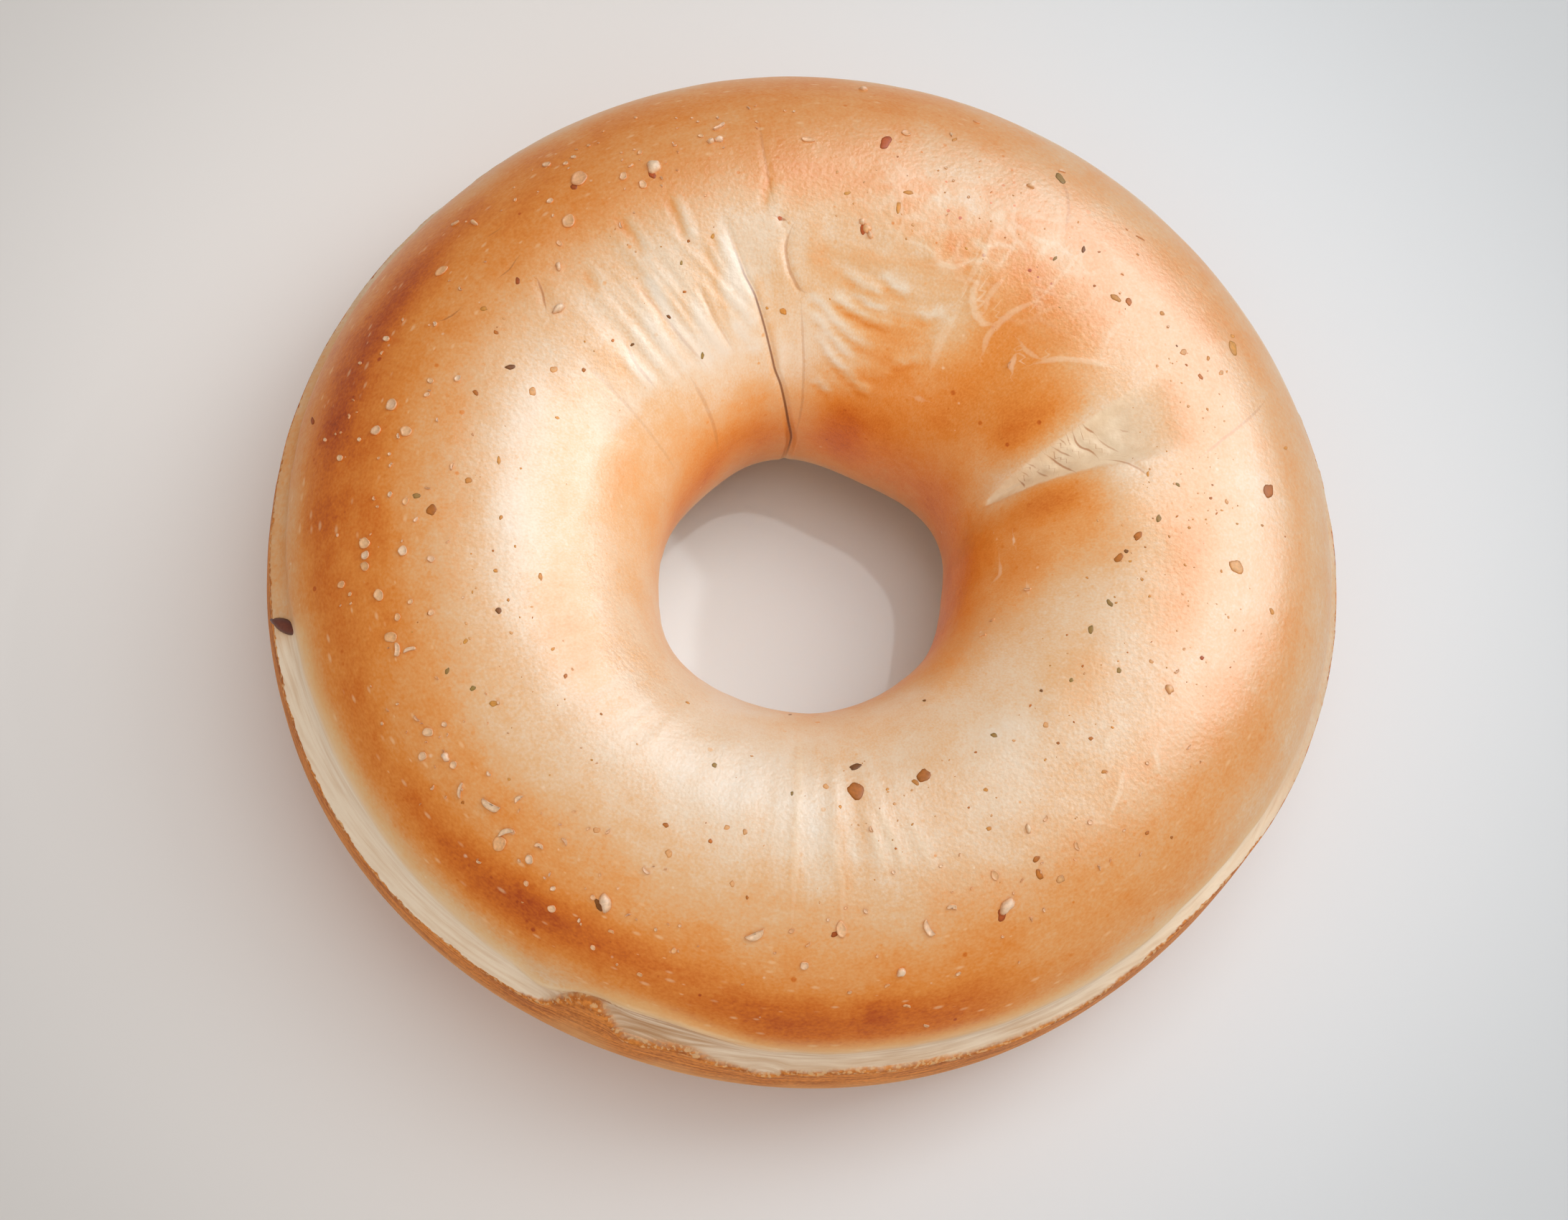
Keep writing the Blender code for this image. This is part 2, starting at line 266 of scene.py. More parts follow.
# Threads are pale raised lines: marks, half width and height in millimetres, and paleness
THREADS = (
    # the torn lip of the waist
    (
        (
            (235, 23.5), (240, 18.8), (243, 22.4), (246, 24.8),
            (250, 26.2), (255, 26.6), (260, 24.8), (268, 21),
        ),
        0.40, 0.25, 0.9,
    ),
    # web on the upper lobe of the fold
    (((46.6, 96), (49.4, 105), (50, 114), (48.2, 119.5)), 0.30, 0.06, 0.5),
    (((58.4, 99), (57.6, 106), (55, 110.3), (52.2, 111.6), (50.6, 110)), 0.34, 0.10, 0.7),
    (((54.2, 97), (54.8, 104), (53.4, 108.6)), 0.28, 0.06, 0.45),
    (((60.6, 84), (59.6, 95), (59.9, 104)), 0.28, 0.05, 0.45),
    (((28.6, 93), (32, 98.6), (36, 105), (38.6, 111.6)), 0.28, 0.08, 0.6),
    (((42.8, 112.8), (41.6, 116.4), (40.4, 117.8)), 0.26, 0.08, 0.7),
    (((44.2, 109.4), (41.2, 110.4), (38.6, 109)), 0.22, 0.05, 0.45),
    (((69.6, 99), (66.6, 102.3), (63.4, 101.6), (61.2, 98)), 0.28, 0.07, 0.55),
    (((57.0, 131), (58.6, 122), (58.2, 112)), 0.45, 0.06, 0.4),
    (((57.2, 141.6), (54, 141.2)), 0.30, 0.04, 0.4),
    (((46.8, 98), (47.0, 86), (47.4, 78)), 0.20, 0.03, 0.35),
    (((59.4, 70), (59.0, 66)), 0.20, 0.06, 0.8),
    (((35.6, 84), (33.4, 93), (31.2, 96)), 0.30, 0.04, 0.3),
    # pale ridges between the creases of the fold
    (((20.2, 127.0), (18.2, 125.4), (16.2, 122.4)), 0.26, 0.10, 0.35),
    (((21.6, 119.0), (19.6, 117.0), (17.0, 113.6)), 0.26, 0.10, 0.35),
    (((22.0, 111.0), (19.6, 110.8), (17.0, 107.4)), 0.26, 0.12, 0.35),
    (((20.6, 105.2), (18.0, 102.6), (15.6, 99.4)), 0.26, 0.10, 0.30),
    # bottom of the crown
    (((265.4, 130), (265.4, 100), (266, 70)), 0.36, 0.05, 0.45),
    (((279.6, 105), (281.2, 92), (282.6, 80)), 0.32, 0.07, 0.5),
    (((276.8, 104), (278.6, 92), (279.6, 82)), 0.32, 0.06, 0.4),
    (((284.6, 98), (285.8, 88), (286.2, 78)), 0.28, 0.04, 0.3),
    (((271.6, 92), (272.8, 80), (272.6, 70)), 0.28, 0.04, 0.3),
    (((259.4, 84), (258.6, 74)), 0.28, 0.04, 0.3),
    # marks on the lower right shoulder
    (((312.2, 71), (315.4, 73.6), (318.6, 78)), 0.24, 0.06, 0.6),
    (((321.4, 69), (323.8, 75.6)), 0.24, 0.05, 0.5),
    (((308.8, 74.4), (311.2, 69.8)), 0.24, 0.05, 0.5),
    (((317.6, 84), (321.2, 87), (324.4, 86)), 0.22, 0.04, 0.4),
    (((355.6, 141.8), (350.6, 140.6), (348.6, 143)), 0.22, 0.05, 0.6),
    (((346.6, 129.6), (343.4, 127.8)), 0.20, 0.05, 0.7),
    (((1.6, 136.4), (359.6, 136.2)), 0.16, 0.06, 0.9),
)

# Smears right of the seam and pleats left of it, each as marks, half width and height in millimetres
SMEARS = (
    (((93.4, 119.6), (90, 121.5), (86, 127), (80, 131), (72, 132.5)), 0.46, 0.14),
    (((92.6, 124), (89, 128.5), (84, 134.5), (78, 138)), 0.40, 0.12),
    (((91.4, 129), (87.6, 136), (83, 141.2), (76, 144)), 0.40, 0.12),
    (((90.2, 146.6), (86.6, 150), (82.8, 152.6)), 0.42, 0.10),
    (((80, 142.4), (75.4, 146), (69.6, 146)), 0.40, 0.10),
    (((88.4, 118.6), (83, 122), (76, 124), (69.4, 123)), 0.42, 0.14),
    (((82.6, 116.6), (78, 119.8), (71.6, 120.6)), 0.36, 0.12),
    (((85.4, 111.8), (80, 115), (74.6, 116.2)), 0.36, 0.12),
    (((77.8, 109.8), (73, 112.8), (69.0, 113)), 0.34, 0.10),
    (((68.4, 134), (63.6, 133), (60.4, 128)), 0.40, 0.08),
    (((67.6, 117), (63.4, 117.6), (60.6, 113)), 0.36, 0.08),
)
PLEATS = (
    (((103.9, 133.6), (107.6, 133.4), (111.6, 128), (113.4, 121)), 0.60, 0.09),
    (((104.4, 128), (108, 124.4), (111.2, 117), (112.8, 108)), 0.62, 0.09),
    (((105.0, 122), (108.2, 117), (110.6, 108), (111.4, 99)), 0.58, 0.08),
    (((107.4, 112), (108.8, 105), (109.4, 97)), 0.50, 0.07),
    (((114.6, 134), (117.8, 129), (119.4, 120), (119.6, 109)), 0.62, 0.09),
    (((120.4, 133.4), (123.6, 129), (125, 120), (125.6, 108), (125.4, 98)), 0.62, 0.09),
    (((126.4, 132.6), (129.4, 127), (130.4, 116), (130.4, 103)), 0.62, 0.09),
    (((131.4, 131.4), (133.8, 126), (134.4, 115), (134.0, 106)), 0.58, 0.08),
    (((136.4, 128), (139.4, 123), (139.6, 112)), 0.58, 0.08),
    (((114.2, 99), (113.8, 92), (114.0, 84)), 0.30, 0.06),
    (((122.2, 97), (122.0, 90), (122.6, 83)), 0.28, 0.05),
    (((133, 97), (132.4, 90)), 0.28, 0.05),
    (((96.8, 87.5), (97.8, 92), (99.0, 96.5)), 0.75, 0.04),
    (((100.6, 150), (99.6, 138), (100.8, 126)), 0.40, 0.05),
)
STROKES = SMEARS + PLEATS
# Beside each, a groove darkened as painted shadow: how far over and up, then half width and depth
SMEAR_SHADOW = (0, 2.1, 0.20, 0.09)
PLEAT_SHADOW = (1.7, -1, 0.26, 0.06)
SHADOWS = tuple(
    (tuple((bearing + over, turn + up) for bearing, turn in marks), half_width, depth)
    for lines, (over, up, half_width, depth) in ((SMEARS, SMEAR_SHADOW), (PLEATS, PLEAT_SHADOW))
    for marks, *_ in lines
)

# How finely a path through marks is drawn, and how far from it a point still counts as near
PATH_POINTS_A_MARK = 8
PATH_SMOOTHING = 6
PATH_REACH = 0.003
# The distance in millimetres that stands for no line nearby
FAR_AWAY = 50.0

# Flakes that lie on the crust as (bearing, turn, length, width, shape), sizes in millimetres. Shapes
# are "disc", "half" for a broken disc, and "chunk".
PALE_FLAKES = (
    (124.8, 65, 1.9, 1.7, "disc"), (115.0, 74, 1.7, 1.5, "chunk"), (117.8, 78, 1.0, 0.8, "disc"),
    (119.6, 72.6, 1.0, 0.8, "disc"), (104.6, 71.6, 1.0, 0.7, "chunk"), (105.8, 71.6, 0.9, 0.6, "chunk"),
    (104, 66.4, 1.6, 0.5, "half"), (91.9, 75, 1.4, 0.6, "disc"), (130.2, 75.6, 1.6, 1.3, "disc"),
    (124.2, 85.6, 0.7, 0.4, "half"), (133.6, 79.4, 0.8, 0.5, "disc"), (136.4, 84.4, 1.0, 0.6, "chunk"),
    (141.8, 92, 1.4, 0.9, "chunk"), (146.6, 56, 1.5, 1.0, "disc"), (157.8, 52.4, 0.8, 0.6, "disc"),
    (138.6, 52, 1.2, 0.5, "chunk"), (139.6, 44.4, 0.9, 0.4, "half"), (126.4, 51, 1.0, 0.7, "disc"),
    (124.6, 56, 0.6, 0.5, "disc"), (130.0, 66.0, 0.7, 0.6, "disc"), (167, 64.6, 1.3, 1.2, "disc"),
    (170.8, 62, 1.1, 1.0, "disc"), (170.6, 71.4, 1.2, 1.1, "disc"), (160.8, 80.4, 0.8, 0.6, "disc"),
    (162.4, 73.4, 0.7, 0.6, "disc"), (164.6, 74, 0.6, 0.5, "disc"), (174.4, 51.4, 0.8, 0.6, "disc"),
    (175.2, 86, 0.8, 0.6, "half"), (186.2, 62.4, 1.2, 1.1, "disc"), (187.8, 62.4, 0.9, 0.8, "disc"),
    (189.2, 62, 1.0, 0.9, "disc"), (193.4, 65, 1.2, 1.0, "disc"), (199.2, 65.6, 1.3, 1.1, "disc"),
    (201, 66, 1.4, 0.9, "half"), (201.8, 69.6, 1.3, 0.7, "half"), (197, 69, 0.8, 0.6, "disc"),
    (188.2, 73.6, 1.1, 0.9, "disc"), (181, 74.4, 0.8, 0.6, "disc"), (190, 81, 0.8, 0.7, "disc"),
    (197.8, 78.4, 0.7, 0.6, "disc"), (190.6, 53.6, 0.9, 0.7, "disc"), (212.2, 63.6, 1.1, 0.9, "disc"),
    (210, 63, 0.8, 0.5, "half"), (214.2, 58, 1.0, 0.8, "disc"), (216, 63.6, 1.0, 0.8, "chunk"),
    (217.4, 64, 0.8, 0.7, "disc"), (220.4, 60.6, 1.6, 0.6, "half"), (224.2, 64.6, 2.0, 1.5, "half"),
    (226.4, 71, 1.1, 0.8, "half"), (228, 60.6, 1.6, 0.9, "half"), (228.2, 56.8, 1.5, 1.4, "disc"),
    (232.2, 63.4, 1.0, 0.8, "half"), (232.2, 58.6, 1.0, 0.8, "disc"), (234.4, 69, 0.9, 0.6, "half"),
    (237.6, 49, 0.9, 0.7, "disc"), (242.8, 59, 1.9, 1.2, "chunk"), (245.6, 73, 0.9, 0.6, "half"),
    (261.4, 64, 2.1, 1.4, "half"), (268, 55.6, 0.9, 0.8, "disc"), (272.4, 67, 1.6, 1.0, "disc"),
    (283.8, 64.4, 1.9, 1.1, "half"), (287.2, 68.4, 1.1, 0.8, "half"), (279.6, 52, 1.1, 0.8, "chunk"),
    (280, 39.6, 0.8, 0.5, "half"), (282.2, 30.6, 0.7, 0.5, "half"), (294.2, 63.6, 1.9, 1.2, "chunk"),
    (294.2, 73.4, 1.0, 0.8, "disc"), (301.6, 81, 0.9, 0.6, "chunk"), (304.6, 81, 0.7, 0.5, "half"),
    (306.2, 69.4, 0.9, 0.7, "half"), (278.2, 94, 0.7, 0.5, "half"), (332.4, 80.6, 1.1, 0.8, "chunk"),
    (344.8, 128.6, 0.8, 0.5, "half"), (329, 137.6, 0.8, 0.4, "half"), (334.8, 137.4, 0.7, 0.4, "half"),
    (81.4, 99, 1.1, 0.8, "chunk"), (80.6, 100.6, 0.9, 0.6, "chunk"), (82.4, 97.4, 0.8, 0.6, "chunk"),
    (78, 67, 1.0, 0.8, "disc"), (84.2, 46, 0.9, 0.5, "chunk"), (59.2, 69, 0.8, 0.5, "chunk"),
    (69.6, 49, 0.8, 0.5, "half"), (57, 55, 0.8, 0.4, "half"), (42, 116.4, 0.7, 0.4, "half"),
)
# Brown and dark marks as (bearing, turn, length, width, tone), sizes in millimetres
MARKS = (
    (155.4, 91, 1.0, 0.6, "dark"), (151.3, 83.4, 0.6, 0.4, "brown"), (148.9, 76.4, 0.8, 0.5, "ochre"),
    (142.4, 79, 0.8, 0.5, "red"), (162, 86.4, 0.7, 0.5, "brown"), (177.2, 90, 0.8, 0.6, "ochre"),
    (157.6, 99, 0.9, 0.8, "ring"), (151.6, 101, 0.8, 0.7, "ring"), (148, 108, 0.5, 0.4, "brown"),
    (160, 108.4, 0.5, 0.3, "ochre"), (122.4, 129, 0.7, 0.4, "olive"), (125.8, 113.4, 0.6, 0.3, "dark"),
    (120.2, 109.6, 0.4, 0.3, "brown"), (118.2, 102, 0.5, 0.3, "olive"), (115.2, 97.4, 0.4, 0.3, "brown"),
    (110.6, 98.6, 0.6, 0.4, "ochre"), (136.2, 113.4, 0.5, 0.3, "dark"), (139, 108.6, 0.4, 0.3, "brown"),
    (172.6, 96.4, 0.9, 0.4, "ochre"), (168.6, 33, 1.4, 0.5, "red"), (98.6, 125, 0.9, 0.6, "ochre"),
    (97.6, 97.6, 0.9, 0.6, "red"), (126.1, 66.6, 0.9, 0.7, "red"), (115.8, 76.2, 1.1, 0.7, "red"),
    (180.2, 77.4, 0.8, 0.6, "olive"), (182.4, 81.6, 1.2, 1.0, "brown"), (200.2, 94.4, 0.7, 0.6, "dark"),
    (206.4, 77, 0.7, 0.4, "olive"), (213.6, 83.6, 0.9, 0.6, "ochre"), (210.2, 81, 0.6, 0.5, "olive"),
    (215.4, 103.4, 0.5, 0.4, "brown"), (193.2, 96, 0.5, 0.4, "ochre"), (209.8, 104.4, 0.5, 0.3, "ochre"),
    (195.2, 108, 0.9, 0.4, "ochre"), (203.4, 84.6, 0.6, 0.4, "ochre"), (183.4, 98.4, 0.5, 0.4, "ochre"),
    (245.2, 87, 0.6, 0.5, "brown"), (247.4, 80, 0.8, 0.7, "ring"), (237, 77, 0.7, 0.6, "ring"),
    (252.4, 87, 0.5, 0.4, "brown"), (254.2, 91.4, 0.6, 0.5, "ring"), (257.2, 91.4, 0.6, 0.5, "ring"),
    (264.2, 105.4, 0.5, 0.3, "olive"), (248.2, 109, 0.6, 0.5, "olive"), (235.2, 130, 0.5, 0.4, "ochre"),
    (262.8, 150, 0.7, 0.2, "dark"), (221.6, 58.4, 0.4, 0.3, "brown"), (259.6, 74, 0.4, 0.3, "brown"),
    (257.2, 77, 0.6, 0.5, "ring"), (276.6, 106.6, 2.1, 1.6, "brown"), (277.6, 115.6, 1.4, 0.7, "dark"),
    (290.4, 106.6, 1.7, 1.2, "brown"), (288.4, 105.4, 0.9, 0.5, "ochre"), (270.8, 108.6, 0.6, 0.6, "ring"),
    (299.8, 68, 1.1, 0.7, "brown"), (302, 63.6, 0.9, 0.8, "ring"), (300.4, 72.4, 0.9, 0.5, "brown"),
    (293.2, 61.6, 1.3, 0.9, "red"), (242.2, 57.4, 1.3, 0.7, "dark"), (271.6, 65.6, 0.9, 0.5, "red"),
    (302, 135, 0.5, 0.3, "dark"), (307, 107.6, 0.7, 0.5, "olive"), (315.4, 100, 0.6, 0.6, "ring"),
    (318.6, 89.4, 0.5, 0.4, "brown"), (316, 81, 0.6, 0.4, "ochre"), (296.4, 86, 0.6, 0.4, "ochre"),
    (299.2, 95, 0.5, 0.4, "ochre"), (337, 105.4, 0.9, 0.6, "olive"), (343.4, 103, 0.9, 0.5, "olive"),
    (353, 103.2, 1.2, 0.7, "brown"), (357.4, 98.6, 1.1, 0.7, "brown"), (0.6, 93.4, 0.9, 0.5, "olive"),
    (354.4, 101.4, 0.5, 0.4, "dark"), (331.4, 93.6, 0.6, 0.5, "olive"), (335.2, 88, 0.5, 0.4, "ring"),
    (339, 76, 0.5, 0.4, "red"), (353.8, 72, 1.6, 1.5, "ring"), (349.2, 58, 0.8, 0.5, "ochre"),
    (314.8, 59, 0.5, 0.4, "brown"), (317, 52, 0.4, 0.3, "brown"), (325.6, 103, 0.5, 0.4, "olive"),
    (320.6, 108, 0.4, 0.3, "dark"), (5.4, 59.6, 1.9, 1.2, "brown"), (25.2, 54.6, 2.0, 1.1, "ochre"),
    (26.8, 51.4, 0.7, 0.5, "ochre"), (22.4, 72.6, 0.8, 0.4, "brown"), (26.6, 74, 0.8, 0.7, "ring"),
    (24.6, 67, 0.6, 0.4, "ochre"), (22.2, 64.8, 0.7, 0.5, "ring"), (27.8, 75, 0.3, 0.2, "dark"),
    (33, 73, 0.6, 0.5, "ochre"), (37, 79.6, 0.9, 0.7, "brown"), (38.6, 82, 1.2, 0.7, "ochre"),
    (47.4, 77.6, 0.9, 0.4, "dark"), (56.6, 58.6, 1.6, 1.0, "olive"), (43.6, 58, 1.1, 0.3, "brown"),
    (49.6, 85.4, 0.7, 0.3, "olive"), (75.6, 87, 1.0, 0.5, "ochre"), (76.6, 91.4, 1.4, 0.5, "ochre"),
    (80.6, 72.6, 1.9, 1.1, "red"), (82.0, 99.4, 1.2, 0.7, "red"), (11.6, 47, 0.8, 0.4, "ochre"),
    (3.4, 75, 0.5, 0.4, "ring"), (6.4, 88.4, 0.6, 0.3, "olive"), (9.0, 95.2, 0.6, 0.3, "ochre"),
    (85.6, 90.4, 0.7, 0.4, "ochre"), (71.4, 63.4, 0.8, 0.4, "ochre"),
)
TONES = {
    "brown": (190, 112, 44),
    "ochre": (216, 146, 68),
    "red": (182, 88, 38),
    "dark": (132, 82, 40),
    "olive": (160, 124, 66),
    "ring": (206, 134, 68),
}
RING_MIDDLE = (226, 168, 112)

# Profiles of the small bits from the top down, as (share of the outline, height). Flakes and chunks
# are in thicknesses, the top of a mark in its height, and its foot and the dark seed in millimetres.
CHUNK_RINGS = ((0.30, 2.6), (0.62, 2.1), (0.86, 1.2), (1.0, 0.2), (0.8, -0.9))
FLAKE_RINGS = ((0.4, 0.55), (0.72, 0.75), (0.90, 1.25), (1.0, 0.8), (0.97, 0), (0.7, -1))
MARK_TOP = ((0.4, 1), (0.75, 0.8), (0.95, 0.35))
MARK_FOOT = ((1.0, -0.06), (0.7, -0.18))
SEED_RINGS = ((0.35, 0.42), (0.7, 0.34), (0.93, 0.16), (1.0, -0.05), (0.7, -0.3))
DARK_SEED_PLACE = (191.6, 23.5)
# Small flakes and all discs lie sunk in the crust by one of these shares
LARGE_FLAKE = 1.3
SUNK_SHARES = (0.0, 0.2, 0.4, 0.6)

# Where more bits are strewn, as (bearing, half width, turn, half height, weight)
FLAKE_REGIONS = (
    (175, 85, 66, 24, 5),
    (240, 45, 60, 22, 4),
    (295, 45, 64, 22, 3),
    (115, 30, 66, 24, 2),
    (200, 40, 84, 16, 1),
    (60, 40, 70, 24, 1),
)
SPECK_REGIONS = (
    (5, 35, 78, 26, 7),
    (335, 40, 92, 30, 5),
    (290, 45, 96, 26, 4),
    (200, 50, 92, 26, 3),
    (140, 35, 104, 24, 2),
    (65, 25, 84, 20, 3),
    (180, 180, 90, 60, 2),
)

# Tones of the crust from white dough to the deepest brown
CRUST_STOPS = (
    (0.00, (234, 214, 191)),
    (0.15, (231, 200, 166)),
    (0.30, (228, 179, 129)),
    (0.45, (229, 158, 91)),
    (0.60, (225, 136, 53)),
    (0.75, (211, 110, 24)),
    (0.90, (182, 78, 10)),
    (1.00, (148, 55, 6)),
)

# The camera stands high and a little left of the front; its azimuth is counted from +X
LENS_MM = 85
SENSOR_MM = 36
CAMERA_AZIMUTH = -105
CAMERA_ELEVATION = 70
CAMERA_DISTANCE = 0.383
CAMERA_TARGET = Vector((-0.0024, -0.0052, 0.0170))

# Lights
BEAM_DISTANCE = 0.7
SHINE_COLOUR = (0.90, 0.97, 1.05)


def hump(distance, half_width):
    """1 at no distance, falling smoothly to 0 at the half width and beyond."""
    share = np.clip(np.abs(distance) / half_width, 0.0, 1.0)
    return (1 - share**2) ** 2


def ramp(value, start, end):
    """0 up to the start, 1 from the end on, with an eased slope between."""
    share = np.clip((value - start) / (end - start), 0.0, 1.0)
    return share * share * (3 - 2 * share)


def angle_from(angle, centre):
    """The signed angle from the centre, between minus and plus half a turn."""
    return (angle - centre + pi) % (2 * pi) - pi


def hump_at(angle, centre, half_width):
    """A hump over an angle, its centre and half width in degrees."""
    return hump(angle_from(angle, radians(centre)), radians(half_width))


def window(angle, start, full, fading, end):
    """Rises from start to full and falls from fading to end, all in degrees but the angle."""
    return ramp(angle, radians(start), radians(full)) * (1 - ramp(angle, radians(fading), radians(end)))


def waves(bearing, terms):
    return sum(height * np.cos(count * (bearing - radians(crest))) for count, height, crest in terms)


def rises(angle, terms):
    return sum(rise * hump_at(angle, centre, half_width) for centre, half_width, rise in terms)


def patch(bearing, turn, centre, half_width, middle, half_height):
    """A soft oval patch on the crust, given in degrees."""
    beside = angle_from(bearing, radians(centre)) / radians(half_width)
    beyond = angle_from(turn, radians(middle)) / radians(half_height)
    return hump(np.hypot(beside, beyond), 1.0)


def patches(bearing, turn, rows):
    return sum(amount * patch(bearing, turn, *spot) for *spot, amount in rows)


def signed_power(value, exponent):
    return np.sign(value) * np.abs(value) ** exponent


def noise_field(points, size, offset=0.0):
    """Smooth noise between about -1 and 1, with features of the given size."""
    scaled = np.asarray(points, dtype=float) / size + offset
    flat = scaled.reshape(-1, 3)
    values = np.fromiter((noise.noise(point) for point in flat), dtype=float, count=len(flat))
    return values.reshape(scaled.shape[:-1])


def ridges(points, size, offset):
    """Noise folded so that it makes sharp ridges at 1."""
    return 1 - 2 * np.abs(noise_field(points, size, offset))


def rolled_points(bearing, turn):
    """The crust laid on a cylinder: round it by bearing, along it by the way over the dough."""
    way = DOUGH_RADIUS * angle_from(turn, pi / 2)
    return np.stack([RING_RADIUS * np.cos(bearing), RING_RADIUS * np.sin(bearing), way], axis=-1)


def lip_height(bearing):
    return LIP_HEIGHT + rises(bearing, LIP_TONGUES)


def lip_turn(bearing):
    share = (lip_height(bearing) - WAIST_HEIGHT) / (HEIGHT - WAIST_HEIGHT)
    return np.arcsin(share ** (ROUNDNESS_ABOVE / 2))


def band_top(bearing):
    return BAND_TOP + rises(bearing, BAND_RISES)


def seam_bearing(turn):
    marks = np.radians(np.array(SEAM_MARKS))[::-1]
    return np.interp(turn, marks[:, 1], marks[:, 0])


def plain_form(bearing, turn):
    """Points of the smooth ring, before any relief."""
    exponent = 2 / np.where(np.sin(turn) >= 0, ROUNDNESS_ABOVE, ROUNDNESS_BELOW)
    across = signed_power(np.cos(turn), exponent)
    upward = signed_power(np.sin(turn), exponent)
    outer = OUTER_RADIUS + waves(bearing, OUTLINE_WAVES)
    hole = HOLE_RADIUS + waves(bearing, HOLE_WAVES)
    outer_share = (1 + across) / 2
    radius = outer * outer_share + hole * (1 - outer_share)
    x = radius * np.cos(bearing) + HOLE_SHIFT[0] * (1 - outer_share)
    y = radius * np.sin(bearing) + HOLE_SHIFT[1] * (1 - outer_share)
    z = WAIST_HEIGHT + np.where(upward >= 0, HEIGHT - WAIST_HEIGHT, UNDERSIDE_DEPTH) * upward
    return x, y, z


def above_lip(bearing, height):
    """Height over the lip's ragged edge."""
    way_round = rolled_points(bearing, 0 * bearing)
    ragged = noise_field(way_round, 0.0035) + 0.5 * noise_field(way_round, 0.0012)
    return height - lip_height(bearing) - LIP_RAGGEDNESS * ragged


def waist_relief(bearing, turn, height):
    above = above_lip(bearing, height)
    lip = LIP_STEP * ramp(above, -LIP_THICKNESS, 0) * (1 - ramp(above, 0, LIP_DROP))
    middle = (band_top(bearing) - lip_height(bearing)) / 2
    hollow = -HOLLOW_DEPTH * hump(above - middle, np.maximum(middle, HOLLOW_LEAST_HALF))
    return (lip + hollow) * ramp(np.cos(turn), 0.2, 0.6)


def seam_aside(bearing, turn, radius):
    """Signed distance from the seam's line."""
    return radius * angle_from(bearing, seam_bearing(turn))


def seam_relief(bearing, turn, radius):
    aside = seam_aside(bearing, turn, radius)
    present = window(turn, *SEAM_REACH)
    groove = -(SEAM_DEPTH * present + SEAM_NOTCH * hump_at(turn, 180, 28)) * hump(aside, 2 * SEAM_WIDTH)
    step = SEAM_STEP * present * np.sign(aside) * hump(aside, DIMPLE_WIDTH / 2)
    dimple = -DIMPLE_DEPTH * present * hump(aside, DIMPLE_WIDTH)
    return groove + step + dimple


def fold_inside(bearing, turn):
    """Degrees of bearing in from the nearer edge of the fold's floor, less than 0 outside."""
    from_apex = FOLD_APEX - np.degrees(turn)
    share = np.clip(from_apex / (FOLD_APEX - FOLD_MOUTH), 0.0, 1.3)
    opened = share**FOLD_OPENING
    flare = FOLD_FLARE * np.clip(share - 0.8, 0, 1)
    aside = np.degrees(angle_from(bearing, 0.0))
    from_near = aside - (FOLD_NEAR_EDGE - FOLD_NEAR_REACH * opened)
    from_far = (FOLD_FAR_EDGE + FOLD_FAR_REACH * opened + flare) - aside
    return np.minimum(np.minimum(from_near, from_far), from_apex * FOLD_POINT)


def fold_relief(bearing, turn):
    valley = -FOLD_DEPTH * ramp(fold_inside(bearing, turn), -0.8, 3.2)
    return (valley + rises(bearing, FOLD_LOBES)) * window(turn, *FOLD_REACH)


def pleat_mask(bearing, turn):
    """Where the crown was stretched into pleats that run in towards the hole."""
    return np.clip(patches(bearing, turn, PLEATED_PATCHES), 0, 1)


def pleat_points(bearing, turn):
    """Long along the way to the hole, short round the ring, and slanting near the seam."""
    slant = 0.30 * angle_from(turn, radians(130)) * hump_at(bearing, 112, 26)
    return rolled_points(bearing + slant, turn) * np.array([1, 1, 0.16])


def swoosh_points(bearing, turn):
    """Long round arches that bow away from the crest, short across them."""
    beside = 0.027 * angle_from(bearing, radians(77))
    beyond = DOUGH_RADIUS * angle_from(turn, radians(70))
    radius = np.hypot(beside, beyond)
    around = radius * np.arctan2(beside, beyond)
    return np.stack([radius, 0.14 * around, np.zeros_like(radius)], axis=-1)


def fine_relief(bearing, turn):
    """Undulation of the whole crust and the wrinkles of its stretched places."""
    rolled = rolled_points(bearing, turn)
    undulation = UNDULATION * noise_field(rolled, 0.010) + RIPPLE * noise_field(rolled, 0.0035)
    pleats = PLEAT_HEIGHT * ridges(pleat_points(bearing, turn), 0.0026, 3.1) * pleat_mask(bearing, turn)
    swooshes = SWOOSH_HEIGHT * ridges(swoosh_points(bearing, turn), 0.0020, 7.7)
    swooshes = swooshes * patch(bearing, turn, *SWOOSH_PATCH)
    return undulation * ramp(np.sin(turn), -0.5, 0.2) + pleats + swooshes


def smooth_path(marks):
    """Marks in degrees as a smooth row of bearings and a smooth row of turns."""
    marks = np.radians(np.array(marks, dtype=float))
    numbers = np.arange(len(marks))
    steps = np.linspace(0, numbers[-1], PATH_POINTS_A_MARK * len(marks))
    rows = np.interp(steps, numbers, np.unwrap(marks[:, 0])), np.interp(steps, numbers, marks[:, 1])
    for row in rows:
        for _ in range(PATH_SMOOTHING):
            row[1:-1] = (row[:-2] + 2 * row[1:-1] + row[2:]) / 4
    return rows


